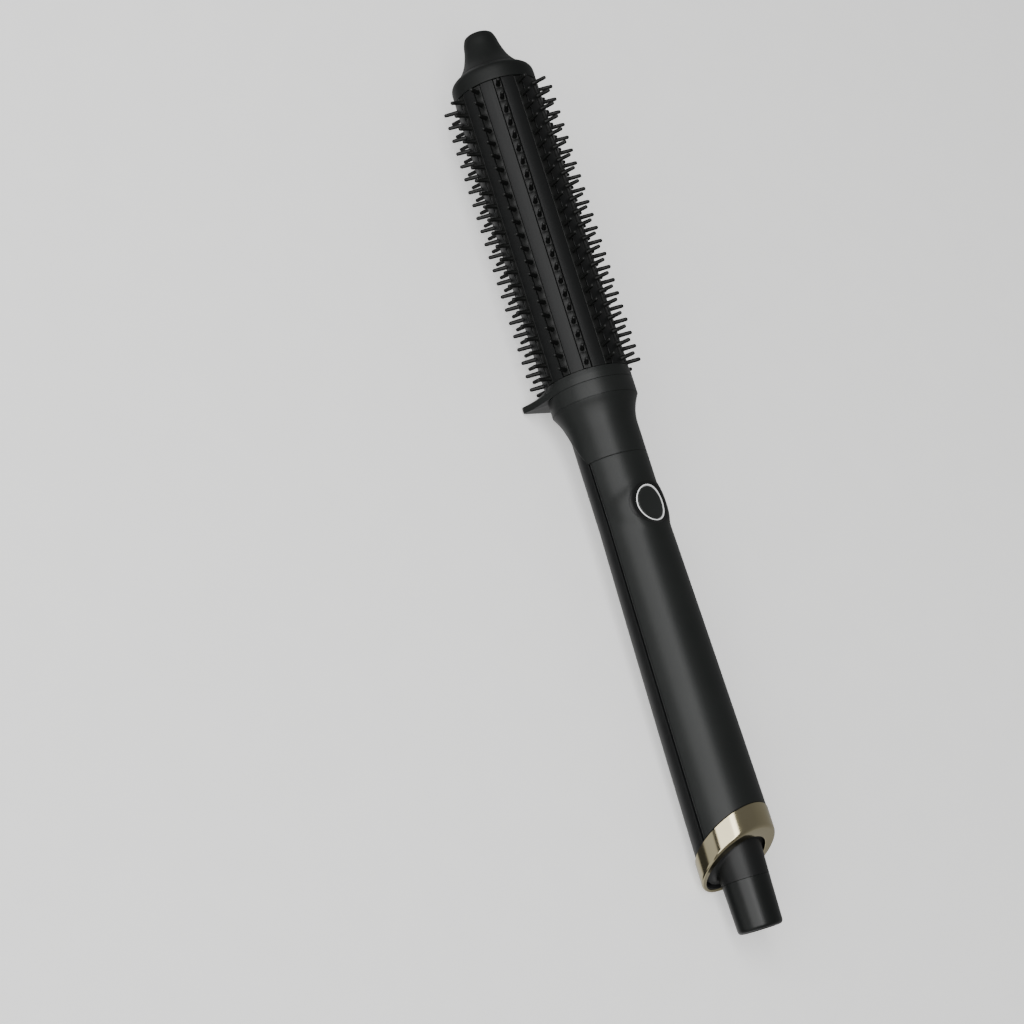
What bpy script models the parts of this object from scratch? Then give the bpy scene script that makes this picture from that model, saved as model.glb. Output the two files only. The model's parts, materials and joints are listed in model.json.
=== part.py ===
"""Hot brush: a heated round brush with twelve bristle strips, a rest foot, an oval power button
and a swivelling cord end.

Every piece is modelled along the brush's own axis: Z runs from the cord end to the cool tip and
X points to the button. An empty then lays the brush on its foot and end ring, button up.
"""
import math

import bmesh
import bpy
import numpy as np
from mathutils import Matrix

# Driving dimensions, metres
GAP = 0.0003
SWIVEL_LENGTH = 0.0179
CAP_NECK_LENGTH = 0.0072
RING_LENGTH = 0.0086
SHELL_LENGTH = 0.1406
NECK_LENGTH = 0.0222
BAND_LENGTH = 0.0058
COLLAR_LENGTH = 0.0045
BARREL_LENGTH = 0.1163
BARREL_RADIUS = 0.0160
COLLAR_PROUD = 0.0002
WAIST_RADIUS = 0.01295
GRIP_RADIUS = 0.01495
RING_RADIUS = 0.01515
COLLAR_RADIUS = BARREL_RADIUS + COLLAR_PROUD

# Handle shells
SHELL_WALL = 0.0020
REAR_INSET = 0.0004
FLARE_LENGTH = 0.0105
SWELL_DROP = 0.0240
SWELL_BULGE_SHARE = 0.25
TONGUE_LENGTH = 0.0180
TONGUE_END_SHARE = 0.985
GRAZING_SHARE = 0.2
SLANT_RISE_SHARE = math.tan(math.radians(28.3))
SLANT_BLEND = 0.0300

# End ring, end cap and swivel
RING_ROUND = 0.0010
RING_WALL = 0.0009
RING_LIP = 0.0010
OPENING_RADIUS = 0.0121
OPENING_SHIFT = 0.0020
SKIRT_WALL = 0.0012
SKIRT_RISE = 0.0125
CAP_FLOOR_RISE = 0.0018
CAP_NECK_TOP_RADIUS = 0.0091
CAP_NECK_RADIUS = 0.00865
CAP_FILLET = 0.0008
CAP_BACK_FILLET = 0.0030
SWIVEL_TOP_RADIUS = 0.00865
SWIVEL_RADIUS = 0.00815
SWIVEL_ROUND = 0.0016
SPINDLE_RADIUS = 0.0050
SPINDLE_LENGTH = 0.0291
CORD_BORE_RADIUS = 0.0036
CORD_BORE_DEPTH = 0.0150
LEAD_BORE_RADIUS = 0.0020
CLIP_THICKNESS = 0.0009
CLIP_DEPTH = 0.0008
CLIP_RADIUS = 0.0075
SLIP_RING_WALL = 0.0011
SLIP_RING_LENGTH = 0.0020
SLIP_RING_SPACING = 0.0045
SLIP_RING_RISE = 0.0030
CARRIER_HOLE_RADIUS = 0.0080
CONTACT_CARRIER_LENGTH = 0.0107
WIPER_WIDTH = 0.0030
WIPER_LENGTH = 0.0016

# Button group
BUTTON_DROP = 0.0199
BUTTON_SINK = 0.00045
CAP_HALF_WIDTH = 0.0057
CAP_HALF_LENGTH = 0.0061
BUTTON_THICKNESS = 0.0030
BUTTON_EDGE = 0.0004
BUTTON_TRAVEL = 0.0005
FACE_CROWN_RADIUS = 0.0180
LIGHT_WIDTH = 0.0004
LIGHT_PROUD = 0.0001
BEZEL_WIDTH = 0.0028
BEZEL_END_WIDTH = 0.0010
BEZEL_SLOPE_SHARE = 0.25
BEZEL_CREST_SHARE = 0.62
BEZEL_CROWN_SHARE = 1.52
BEZEL_DEPTH = 0.0048
LEDGE_THICKNESS = 0.0016
LEDGE_CLEARANCE = 0.0005
STEM_RADIUS = 0.0012
STEM_LENGTH = 0.0005
PLUNGER_RADIUS = 0.0016
PLUNGER_PROUD = 0.0008
PLUNGER_HIDDEN = 0.0006
SWITCH_SIZE = 0.0060
SWITCH_HEIGHT = 0.0025

# Control board and what is on it
BOARD_THICKNESS = 0.0016
BOARD_WIDTH = 0.0150
BOARD_TAIL_ROOM = 0.0132
BOARD_HEAD = 0.0063
TRIAC_SIZE = (0.0042, 0.0090, 0.0100)
TRIAC_DROP_SHARE = 0.42
FILM_CAPACITOR_SIZE = (0.0048, 0.0090, 0.0160)
FILM_CAPACITOR_DROP_SHARE = 0.65
CHIP_SIZE = (0.0012, 0.0050, 0.0050)
CHIP_DROP_SHARE = 0.31
LAMP_SIZE = (0.0010, 0.0020, 0.0016)
SCREW_RADIUS = 0.0009
SCREW_LENGTH = 0.0091
SCREW_HEAD_RADIUS = 0.0022
SCREW_HEAD_HEIGHT = 0.0016
SCREW_DROP_SHARES = (0.23, 0.89)
POST_RADIUS = 0.0026
POST_HOLE_DEPTH = 0.0085

# Leads
LEAD_RADIUS = 0.0008
SUPPLY_LEAD_OFFSET = 0.0062
SUPPLY_LEAD_LAP = 0.0060
HEATER_LEAD_OFFSET = 0.0030
HEATER_LEAD_LAP = 0.0050
HEATER_LEAD_TAIL = 0.0060

# Barrel carrier
CARRIER_DEPTH = 0.0185
CARRIER_SHOULDER = 0.0007
CARRIER_WALL = 0.0016
CARRIER_BORE = 0.0086
CARRIER_WIDENING_DROP = 0.0019
SPIGOT_LENGTH = 0.0149

# Foot collar
FOOT_REACH = 0.0226
FOOT_SIDE_INSET = 0.0007
FOOT_HALF_WIDTH = BARREL_RADIUS - FOOT_SIDE_INSET
FOOT_CORNER = 0.0025
FOOT_RIM = 0.0022
FOOT_RISE = 0.0008

# Barrel and bristle strips
STRIP_COUNT = 12
STRIP_TURN = math.radians(-10.3)
PIN_COUNT = 22
GROOVE_WIDTH = 0.0031
GROOVE_DEPTH = 0.0015
BARREL_FLOOR = 0.0008
STRIP_RECESS = 0.0004
PIN_REACH = 0.0052
PIN_ROOT = 0.0016
PIN_END = 0.0012
PIN_MARGIN = 0.0023

# Heater group
SPREADER_WALL = 0.0012
SPREADER_SPAN = math.radians(78)
SPREADER_END_GAP = 0.0065
PAD_WIDTH = 0.0100
PAD_THICKNESS = 0.0012
WEB_WIDTH = 0.0016
HEATER_THICKNESS = 0.0018
HEATER_TAIL = 0.0100
FUSE_RADIUS = 0.0015
FUSE_LENGTH = 0.0090
FUSE_RISE = 0.0180
SENSOR_RADIUS = 0.0010
SENSOR_LENGTH = 0.0040
SENSOR_RISE = 0.0400

# Cool tip: the dome falls from the barrel's radius to the knob's foot, as shares of that fall and
# of the dome's height, and the knob narrows from its foot, as shares of its foot and its length
KNOB_FOOT_RADIUS = 0.0114
DOME_HEIGHT = 0.0088
KNOB_LENGTH = 0.0161
DOME_SHARES = ((0.983, 0.03), (1.0, 0.48), (0.967, 0.61), (0.85, 0.74), (0.61, 0.85), (0.3, 0.925), (0.0, 1.0))
KNOB_SHARES = ((0.92, 0.04), (0.816, 0.118), (0.737, 0.242), (0.645, 0.491), (0.567, 0.789), (0.491, 0.938),
               (0.386, 1.0))
TIP_SPIGOT = 0.0068
TIP_WALL = 0.0016
TIP_HOLLOW_RISE = 0.0050
KNOB_BORE = 0.0040
KNOB_HOLLOW_RISE = 0.0190

# Numbers of facets
STEPS = 40
NORMAL_STEPS = 720
SHELL_RINGS = 9
TONGUE_RINGS = 8
NECK_RINGS = 7
FLARE_RINGS = 13
SPREADER_POINTS = 13
LEAD_BEND_RINGS = 6
SWIVEL_STEPS = 30
FEW_STEPS = 20
ROD_SIDES = 12
LEAD_SIDES = 8
ARC_POINTS = 4
SHARP_ANGLE = math.radians(40)

# Stations along the axis
RING_LOW = SWIVEL_LENGTH + CAP_NECK_LENGTH
RING_TOP = RING_LOW + RING_LENGTH
SEAM = RING_TOP + SHELL_LENGTH
BAND_LOW = SEAM + NECK_LENGTH
COLLAR_LOW = BAND_LOW + BAND_LENGTH
BARREL_LOW = COLLAR_LOW + COLLAR_LENGTH
BARREL_TOP = BARREL_LOW + BARREL_LENGTH
BUTTON_HEIGHT = SEAM - BUTTON_DROP
CAP_FLOOR = RING_TOP + CAP_FLOOR_RISE
SKIRT_TOP = CAP_FLOOR + SKIRT_RISE
BORE_RADIUS = BARREL_RADIUS - GROOVE_DEPTH - BARREL_FLOOR
SPIGOT_RADIUS = BORE_RADIUS - GAP
CARRIER_RADIUS = SPIGOT_RADIUS - CARRIER_SHOULDER
SPREADER_LOW = BARREL_LOW + SPIGOT_LENGTH + 2 * GAP
SPREADER_TOP = BARREL_TOP - SPREADER_END_GAP - 2 * GAP

FINISHES = {
    "charcoal_plastic": ((0.024, 0.026, 0.025), 0.42, 0.0),
    "dark_plastic": ((0.012, 0.012, 0.012), 0.50, 0.0),
    "satin_black_coating": ((0.010, 0.010, 0.010), 0.30, 0.6),
    "bristle_nylon": ((0.010, 0.010, 0.010), 0.35, 0.0),
    "champagne_metal": ((0.43, 0.39, 0.27), 0.22, 1.0),
    "light_guide": ((0.78, 0.78, 0.78), 0.30, 0.0),
    "bare_aluminium": ((0.60, 0.61, 0.62), 0.35, 1.0),
    "brass_contact": ((0.55, 0.40, 0.15), 0.30, 1.0),
    "steel_plate": ((0.50, 0.50, 0.50), 0.30, 1.0),
    "white_ceramic": ((0.75, 0.74, 0.70), 0.60, 0.0),
    "board_laminate": ((0.02, 0.12, 0.05), 0.45, 0.0),
    "lead_insulation": ((0.45, 0.45, 0.42), 0.60, 0.0),
}


def clear_scene():
    """Empty the scene."""
    for item in list(bpy.data.objects):
        bpy.data.objects.remove(item, do_unlink=True)


def finish(name):
    """A Principled material of that finish, made once."""
    if name in bpy.data.materials:
        return bpy.data.materials[name]
    colour, roughness, metallic = FINISHES[name]
    material = bpy.data.materials.new(name)
    material.use_nodes = True
    shader = material.node_tree.nodes["Principled BSDF"]
    shader.inputs["Base Color"].default_value = (*colour, 1.0)
    shader.inputs["Roughness"].default_value = roughness
    shader.inputs["Metallic"].default_value = metallic
    return material


def skin(rings, closed):
    """Vertices and faces over rings of points; the rings close on themselves, or are capped."""
    rings = np.asarray(rings)
    count, around = rings.shape[:2]
    index = np.arange(count * around).reshape(count, around)
    faces = []
    for row in range(count if closed else count - 1):
        low = index[row]
        high = index[(row + 1) % count]
        corners = np.column_stack((low, np.roll(low, -1), np.roll(high, -1), high))
        faces.extend(corners.tolist())
    if not closed:
        faces.append(index[0][::-1].tolist())
        faces.append(index[-1].tolist())
    return rings.reshape(-1, 3), faces


def body(name, surface, look, brush, place=(0.0, 0.0, 0.0)):
    """A closed body under the brush's empty, with its origin at the given place."""
    points, faces = surface
    mesh = bpy.data.meshes.new(name)
    mesh.from_pydata((np.asarray(points) - np.asarray(place)).tolist(), [], faces)
    work = bmesh.new()
    work.from_mesh(mesh)
    bmesh.ops.recalc_face_normals(work, faces=work.faces)
    work.to_mesh(mesh)
    work.free()
    mesh.shade_smooth()
    mesh.set_sharp_from_angle(angle=SHARP_ANGLE)
    mesh.materials.append(finish(look))
    item = bpy.data.objects.new(name, mesh)
    bpy.context.scene.collection.objects.link(item)
    item.parent = brush
    item.location = place
    return item


def shape_with(item, tool, operation):
    """Cut the item with the tool, or join the tool to it."""
    tool.hide_render = True
    tool.display_type = "WIRE"
    modifier = item.modifiers.new(tool.name, "BOOLEAN")
    modifier.operation = operation
    modifier.solver = "EXACT"
    modifier.object = tool


def turned(outline, steps=STEPS, lean_shares=None):
    """Rings of a body turned about Z from (radius, height) points; a leaning point follows the slant."""
    turn = np.linspace(0, 2 * math.pi, steps, endpoint=False)
    leans = lean_shares or [0] * len(outline)
    rings = []
    for (radius, height), lean in zip(outline, leans):
        across = radius * np.cos(turn)
        level = height + lean * SLANT_RISE_SHARE * across
        rings.append(np.column_stack((across, radius * np.sin(turn), level)))
    return rings


def round_corner(radius, height, size, start, end):
    """Points of an arc about (radius, height), between two angles in degrees."""
    angles = np.radians(np.linspace(start, end, ARC_POINTS + 1))
    return [(radius + size * math.cos(a), height + size * math.sin(a)) for a in angles]


def block(low, high):
    """A box between two corners."""
    (x0, y0, z0), (x1, y1, z1) = low, high
    plan = ((x0, y0), (x1, y0), (x1, y1), (x0, y1))
    return skin([[(x, y, z) for x, y in plan] for z in (z0, z1)], False)


def block_on(face, size, width_middle, height):
    """A box of (thickness, width, length) that stands on the plane x = face, centred on a height."""
    deep, wide, tall = size
    low = (face, width_middle - wide / 2, height - tall / 2)
    high = (face + deep, width_middle + wide / 2, height + tall / 2)
    return block(low, high)


def rod_along_x(outline, height, steps=ROD_SIDES):
    """A solid turned about the X direction at a height, from (x, radius) points."""
    turn = np.linspace(0, 2 * math.pi, steps, endpoint=False)
    rings = []
    for x, radius in outline:
        side = radius * np.cos(turn)
        rise = height + radius * np.sin(turn)
        rings.append(np.column_stack((np.full(steps, x), side, rise)))
    return rings


def rod_along_z(middle, radius, low, high, steps=ROD_SIDES):
    """A round rod along Z about the point (x, y)."""
    turn = np.linspace(0, 2 * math.pi, steps, endpoint=False)
    plan = np.column_stack((middle[0] + radius * np.cos(turn), middle[1] + radius * np.sin(turn)))
    return skin([np.column_stack((plan, np.full(steps, z))) for z in (low, high)], False)


def oval_rings(outline, crown_shares=None):
    """Oval rings about the button's axis, from (side offset, end offset, x) points.

    The offsets are taken from the cap's outline. A crowned ring falls to both sides along an arc
    across the handle.
    """
    turn = np.linspace(0, 2 * math.pi, STEPS, endpoint=False)
    crowns = crown_shares or [0] * len(outline)
    rings = []
    for (side_offset, end_offset, x), crown in zip(outline, crowns):
        side = (CAP_HALF_WIDTH + side_offset) * np.cos(turn)
        rise = BUTTON_HEIGHT + (CAP_HALF_LENGTH + end_offset) * np.sin(turn)
        level = x - crown * (FACE_CROWN_RADIUS - np.sqrt(FACE_CROWN_RADIUS ** 2 - side ** 2))
        rings.append(np.column_stack((level, side, rise)))
    return rings


def skin_radius(height):
    """Outer radius of handle and neck: a waist, a parabolic flare above it, a slow swell below."""
    flare = np.clip((height - BAND_LOW + FLARE_LENGTH) / FLARE_LENGTH, 0, None)
    swell_start = SEAM - SWELL_DROP
    swell = np.clip((swell_start - height) / (swell_start - RING_TOP), 0, None)
    bulge = swell * (1 + SWELL_BULGE_SHARE * (1 - swell))
    flare_rise = (COLLAR_RADIUS - WAIST_RADIUS) * flare ** 2
    return WAIST_RADIUS + flare_rise + (GRIP_RADIUS - WAIST_RADIUS) * bulge


CAP_RADIUS = float(skin_radius(SKIRT_TOP)) - SHELL_WALL - GAP
BUTTON_FACE = float(skin_radius(BUTTON_HEIGHT)) - BUTTON_SINK
BUTTON_BASE = BUTTON_FACE - BUTTON_THICKNESS
PLUNGER_TOP = BUTTON_BASE - STEM_LENGTH - GAP
SWITCH_TOP = PLUNGER_TOP - PLUNGER_PROUD
BOARD_FACE = SWITCH_TOP - SWITCH_HEIGHT - GAP
BOARD_BACK = BOARD_FACE - BOARD_THICKNESS
PART_FACE = BOARD_FACE + GAP
BOARD_TOP = SEAM - BOARD_HEAD
BOARD_LOW = CAP_FLOOR + 2 * GAP + CONTACT_CARRIER_LENGTH + BOARD_TAIL_ROOM
BOARD_LENGTH = BOARD_TOP - BOARD_LOW


def sector_ring(height, half_angle, middle_angle, inset, slanted, points=STEPS // 2):
    """One ring of a half shell: an outer arc and back along the inner one, at a height."""
    sweep = np.linspace(-half_angle, half_angle, points) + middle_angle
    blend = 0.0
    if slanted:
        blend = float(np.clip(1 - (height - RING_TOP) / SLANT_BLEND, 0, 1))
    rings = []
    for wall, angles in ((inset, sweep), (SHELL_WALL, sweep[::-1])):
        first = float(skin_radius(height)) - wall
        level = height + blend * SLANT_RISE_SHARE * first * np.cos(angles)
        radius = skin_radius(level) - wall
        level = height + blend * SLANT_RISE_SHARE * radius * np.cos(angles)
        rings.append(np.column_stack((radius * np.cos(angles), radius * np.sin(angles), level)))
    return np.vstack(rings)


def seam_half_angle():
    """Half the angle that each half shell spans, short of the seam by half a gap."""
    return math.pi / 2 - GAP / WAIST_RADIUS / 2


def add_front_shell(brush):
    """The front half shell, with the oval hole of the button group."""
    heights = np.linspace(RING_TOP + GAP, SEAM - GAP / 2, SHELL_RINGS)
    rings = [sector_ring(z, seam_half_angle(), 0.0, 0.0, True) for z in heights]
    shell = body("front_shell", skin(rings, False), "charcoal_plastic", brush)
    bezel_inner = GAP + LIGHT_WIDTH + GAP
    side = bezel_inner + BEZEL_WIDTH + GAP
    end = bezel_inner + BEZEL_END_WIDTH + GAP
    hole = skin(oval_rings([(side, end, BOARD_BACK), (side, end, 2 * GRIP_RADIUS)]), False)
    shape_with(shell, body("button_hole", hole, "charcoal_plastic", brush), "DIFFERENCE")


def add_rear_shell(brush):
    """The rear half shell, ending in a round tongue under the neck, with two board posts."""
    straight = np.linspace(RING_TOP + GAP, SEAM, SHELL_RINGS)
    rings = [sector_ring(z, seam_half_angle(), math.pi, REAR_INSET, True) for z in straight]
    for share in np.sin(np.linspace(0, math.asin(TONGUE_END_SHARE), TONGUE_RINGS))[1:]:
        half_angle = min(math.acos(share), seam_half_angle())
        rings.append(sector_ring(SEAM + share * TONGUE_LENGTH, half_angle, math.pi, REAR_INSET, False))
    shell = body("rear_shell", skin(rings, False), "dark_plastic", brush)
    top = BOARD_BACK - GAP
    hole_radius = SCREW_RADIUS + GAP
    for number, share in enumerate(SCREW_DROP_SHARES):
        height = BOARD_TOP - share * BOARD_LENGTH
        root = -float(skin_radius(height)) + SHELL_WALL / 2 + REAR_INSET
        outline = (
            (top - POST_HOLE_DEPTH, hole_radius),
            (top, hole_radius),
            (top, POST_RADIUS),
            (root, POST_RADIUS),
        )
        post = skin(rod_along_x(outline, height), False)
        shape_with(shell, body(f"board_post_{number}", post, "dark_plastic", brush), "UNION")


def add_neck_cover(brush):
    """The flared neck cover: turned, with its lower edge raised at the back round the tongue."""
    turn = np.linspace(0, 2 * math.pi, STEPS, endpoint=False)
    low = SEAM + GAP / 2 + (TONGUE_LENGTH + GAP) * np.clip(-np.cos(turn), 0, None)
    climb = np.linspace(0, 1, NECK_RINGS)
    rings = []
    for angle, start in zip(turn, low):
        levels = start + climb * (BAND_LOW - GAP - start)
        outer = np.column_stack((skin_radius(levels), levels))
        inner = np.column_stack((skin_radius(levels) - SHELL_WALL, levels))[::-1]
        outline = np.vstack((outer, inner))
        across = outline[:, 0] * math.cos(angle)
        rings.append(np.column_stack((across, outline[:, 0] * math.sin(angle), outline[:, 1])))
    body("neck_cover", skin(rings, True), "charcoal_plastic", brush)


def add_neck_band(brush):
    """The plain ring between neck cover and foot collar."""
    inner = CARRIER_RADIUS + GAP
    outline = ((inner, BAND_LOW), (COLLAR_RADIUS, BAND_LOW), (COLLAR_RADIUS, COLLAR_LOW), (inner, COLLAR_LOW))
    body("neck_band", skin(turned(outline), True), "charcoal_plastic", brush)


def foot_outline(reach, steps=STEPS):
    """Plan radii of the collar with its foot: the hull of a circle and two rounded corners."""
    turn = np.linspace(0, 2 * math.pi, steps, endpoint=False)
    normal = np.linspace(0, 2 * math.pi, NORMAL_STEPS, endpoint=False)
    corner_x = FOOT_CORNER - reach
    corner_y = FOOT_HALF_WIDTH - FOOT_CORNER
    corner = corner_x * np.cos(normal) + corner_y * np.abs(np.sin(normal)) + FOOT_CORNER
    support = np.maximum(corner, COLLAR_RADIUS)
    facing = np.cos(turn[:, None] - normal[None, :])
    distance = np.where(facing > GRAZING_SHARE, support[None, :] / np.maximum(facing, GRAZING_SHARE), np.inf)
    return turn, distance.min(axis=1)


def add_foot_collar(brush, axis_lean):
    """The collar under the barrel, with the rest foot whose flat lies on the ground."""
    low = COLLAR_LOW + GAP
    middle = low + FOOT_RIM / 2
    lean = math.tan(axis_lean)
    rim = low + FOOT_RIM
    top = BARREL_LOW - GAP
    rings = []
    for height in (low, rim):
        turn, radius = foot_outline(FOOT_REACH + (height - middle) * lean)
        across = radius * np.cos(turn)
        out = np.clip((-across - COLLAR_RADIUS) / (FOOT_REACH - COLLAR_RADIUS), 0, 1)
        rings.append(np.column_stack((across, radius * np.sin(turn), height + out * FOOT_RISE)))
    inner = CARRIER_RADIUS + GAP
    rings.extend(turned(((COLLAR_RADIUS - GAP, top), (inner, top), (inner, low))))
    body("foot_collar", skin(rings, True), "charcoal_plastic", brush)


def add_barrel_carrier(brush):
    """The insulating tube that joins neck, band, collar and barrel."""
    low = SEAM + NECK_LENGTH - CARRIER_DEPTH
    shoulder = BARREL_LOW + GAP
    top = BARREL_LOW + SPIGOT_LENGTH
    levels = np.linspace(low, BAND_LOW, FLARE_RINGS)
    radii = np.minimum(CARRIER_RADIUS, skin_radius(levels) - SHELL_WALL - GAP)
    flare = list(zip(radii.tolist(), levels.tolist()))
    full = BAND_LOW - CARRIER_WIDENING_DROP
    inner = CARRIER_RADIUS - CARRIER_WALL
    widen = (inner - CARRIER_BORE) / 2
    outline = flare + [
        (CARRIER_RADIUS, shoulder),
        (SPIGOT_RADIUS, shoulder),
        (SPIGOT_RADIUS, top),
        (inner, top),
        (inner, full + widen),
        (CARRIER_BORE, full - widen),
        (CARRIER_BORE, low),
    ]
    body("barrel_carrier", skin(turned(outline), True), "dark_plastic", brush)


def add_barrel_shell(brush):
    """The grooved barrel: one outline of lands and grooves carried along the axis."""
    half = GROOVE_WIDTH / 2
    floor = BARREL_RADIUS - GROOVE_DEPTH
    edge = math.asin(half / BARREL_RADIUS)
    root = math.asin(half / floor)
    pitch = 2 * math.pi / STRIP_COUNT
    outline = []
    for number in range(STRIP_COUNT):
        middle = STRIP_TURN + number * pitch
        outline += [(BARREL_RADIUS, middle - edge), (floor, middle - root)]
        outline += [(floor, middle + root), (BARREL_RADIUS, middle + edge)]
        for share in (1 / 3, 2 / 3):
            outline.append((BARREL_RADIUS, middle + edge + share * (pitch - 2 * edge)))
    radii, angles = np.array(outline).T
    rings = []
    for radius, height in (
        (radii, BARREL_LOW),
        (radii, BARREL_TOP),
        (np.full(len(radii), BORE_RADIUS), BARREL_TOP),
        (np.full(len(radii), BORE_RADIUS), BARREL_LOW),
    ):
        level = np.full(len(radii), height)
        rings.append(np.column_stack((radius * np.cos(angles), radius * np.sin(angles), level)))
    body("barrel_shell", skin(rings, True), "satin_black_coating", brush)


def strip_surface():
    """A bristle strip facing X: a flat backing with a row of four-sided tapering bristles on it."""
    half = GROOVE_WIDTH / 2 - GAP
    floor = BARREL_RADIUS - GROOVE_DEPTH + GAP
    top = BARREL_RADIUS - STRIP_RECESS
    tip = BARREL_RADIUS + PIN_REACH
    low = BARREL_LOW + GAP
    high = BARREL_TOP - GAP
    middles = np.linspace(BARREL_LOW + PIN_MARGIN, BARREL_TOP - PIN_MARGIN - GAP, PIN_COUNT)
    root = PIN_ROOT / 2
    end = PIN_END / 2
    stations = [low] + [z + side * root for z in middles for side in (-1, 1)] + [high]
    points = [(floor, y, z) for z in (low, high) for y in (-half, half)]
    points += [(top, y, z) for z in (low, high) for y in (-half, half)]
    left = [len(points) + row for row in range(len(stations))]
    points += [(top, -root, z) for z in stations]
    right = [len(points) + row for row in range(len(stations))]
    points += [(top, root, z) for z in stations]
    faces = [
        (0, 1, 3, 2),
        (0, 4, 6, 2),
        (1, 5, 7, 3),
        (0, 1, 5, right[0], left[0], 4),
        (2, 3, 7, right[-1], left[-1], 6),
        (4, *left, 6),
        (5, *right, 7),
    ]
    for row in range(0, len(stations) - 1, 2):
        faces.append((left[row], right[row], right[row + 1], left[row + 1]))
    for number, middle in enumerate(middles):
        row = 2 * number + 1
        base = (left[row], right[row], right[row + 1], left[row + 1])
        first = len(points)
        points += [(tip, y, middle + z) for y, z in ((-end, -end), (end, -end), (end, end), (-end, end))]
        crown = (first, first + 1, first + 2, first + 3)
        for side in range(4):
            after = (side + 1) % 4
            faces.append((base[side], base[after], crown[after], crown[side]))
        faces.append(crown)
    return points, faces


def add_bristle_strips(brush):
    """Twelve strips that share one mesh, one turned into each groove."""
    first = body("bristle_strip_01", strip_surface(), "bristle_nylon", brush)
    first.rotation_euler.z = STRIP_TURN
    for number in range(1, STRIP_COUNT):
        strip = bpy.data.objects.new(f"bristle_strip_{number + 1:02d}", first.data)
        bpy.context.scene.collection.objects.link(strip)
        strip.parent = brush
        strip.rotation_euler.z = STRIP_TURN + number * 2 * math.pi / STRIP_COUNT


def add_cool_tip(brush):
    """The hollow cool tip: a spigot in the barrel's bore, a dome and a waisted knob."""
    hollow = SPIGOT_RADIUS - TIP_WALL
    low = BARREL_TOP - TIP_SPIGOT
    outline = [
        (KNOB_BORE, BARREL_TOP + KNOB_HOLLOW_RISE),
        (KNOB_BORE, BARREL_TOP + TIP_HOLLOW_RISE + hollow - KNOB_BORE - TIP_WALL * 2),
        (hollow, BARREL_TOP + TIP_HOLLOW_RISE - TIP_WALL),
        (hollow, low),
        (SPIGOT_RADIUS, low),
        (SPIGOT_RADIUS, BARREL_TOP + DOME_SHARES[0][1] * DOME_HEIGHT),
    ]
    fall = BARREL_RADIUS - KNOB_FOOT_RADIUS
    foot = BARREL_TOP + DOME_HEIGHT
    outline += [(KNOB_FOOT_RADIUS + out * fall, BARREL_TOP + up * DOME_HEIGHT) for out, up in DOME_SHARES]
    outline += [(out * KNOB_FOOT_RADIUS, foot + up * KNOB_LENGTH) for out, up in KNOB_SHARES]
    body("cool_tip", skin(turned(outline), False), "charcoal_plastic", brush)


def spreader_surface(turn):
    """Half of the heat spreader: a thin arc against the bore, a web and a flat pad on the heater."""
    outer = SPIGOT_RADIUS
    inner = outer - SPREADER_WALL
    pad_low = HEATER_THICKNESS / 2 + GAP
    pad_high = pad_low + PAD_THICKNESS
    web = WEB_WIDTH / 2
    web_angle = math.asin(web / inner)
    across = np.linspace(-SPREADER_SPAN, SPREADER_SPAN, SPREADER_POINTS)
    plan = [(outer * math.cos(a), outer * math.sin(a)) for a in across]
    right = np.linspace(SPREADER_SPAN, web_angle, SPREADER_POINTS // 2)
    plan += [(inner * math.cos(a), inner * math.sin(a)) for a in right]
    plan += [(pad_high, web), (pad_high, PAD_WIDTH / 2), (pad_low, PAD_WIDTH / 2)]
    plan += [(pad_low, -PAD_WIDTH / 2), (pad_high, -PAD_WIDTH / 2), (pad_high, -web)]
    plan += [(inner * math.cos(a), -inner * math.sin(a)) for a in right[::-1]]
    plan = np.array(plan) * math.cos(turn)
    rings = [np.column_stack((plan, np.full(len(plan), z))) for z in (SPREADER_LOW, SPREADER_TOP)]
    return skin(rings, False)


def add_heater(brush):
    """The ceramic heater between its two spreaders, with the fuse and the sensor on the upper one."""
    body("heat_spreader_upper", spreader_surface(0.0), "bare_aluminium", brush)
    body("heat_spreader_lower", spreader_surface(math.pi), "bare_aluminium", brush)
    low = (-HEATER_THICKNESS / 2, -PAD_WIDTH / 2, SPREADER_LOW - HEATER_TAIL)
    high = (HEATER_THICKNESS / 2, PAD_WIDTH / 2, SPREADER_TOP)
    body("ceramic_heater", block(low, high), "white_ceramic", brush)
    pad = HEATER_THICKNESS / 2 + GAP + PAD_THICKNESS
    web = WEB_WIDTH / 2
    for name, radius, length, rise, side, look in (
        ("thermal_fuse", FUSE_RADIUS, FUSE_LENGTH, FUSE_RISE, 1, "steel_plate"),
        ("temperature_sensor", SENSOR_RADIUS, SENSOR_LENGTH, SENSOR_RISE, -1, "white_ceramic"),
    ):
        middle = (pad + GAP + radius, side * (web + GAP + radius))
        start = SPREADER_LOW + rise
        body(name, rod_along_z(middle, radius, start, start + length), look, brush)


def ring_opening():
    """Radii of the end ring's opening, a circle whose centre lies towards the back."""
    turn = np.linspace(0, 2 * math.pi, STEPS, endpoint=False)
    side = OPENING_SHIFT * np.sin(turn)
    return np.sqrt(OPENING_RADIUS ** 2 - side ** 2) - OPENING_SHIFT * np.cos(turn)


def add_end_ring(brush):
    """The slanted metal ring round the handle's end, with a rounded edge and an inner lip."""
    inner = RING_RADIUS - RING_WALL
    outline = [(ring_opening(), RING_LOW)]
    outline += round_corner(RING_RADIUS - RING_ROUND, RING_LOW + RING_ROUND, RING_ROUND, -90, 0)
    outline += [(RING_RADIUS, RING_TOP), (inner, RING_TOP), (inner, RING_LOW + RING_LIP)]
    outline.append((ring_opening(), RING_LOW + RING_LIP))
    rings = turned(outline, lean_shares=[1] * len(outline))
    body("end_ring", skin(rings, True), "champagne_metal", brush)


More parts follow.
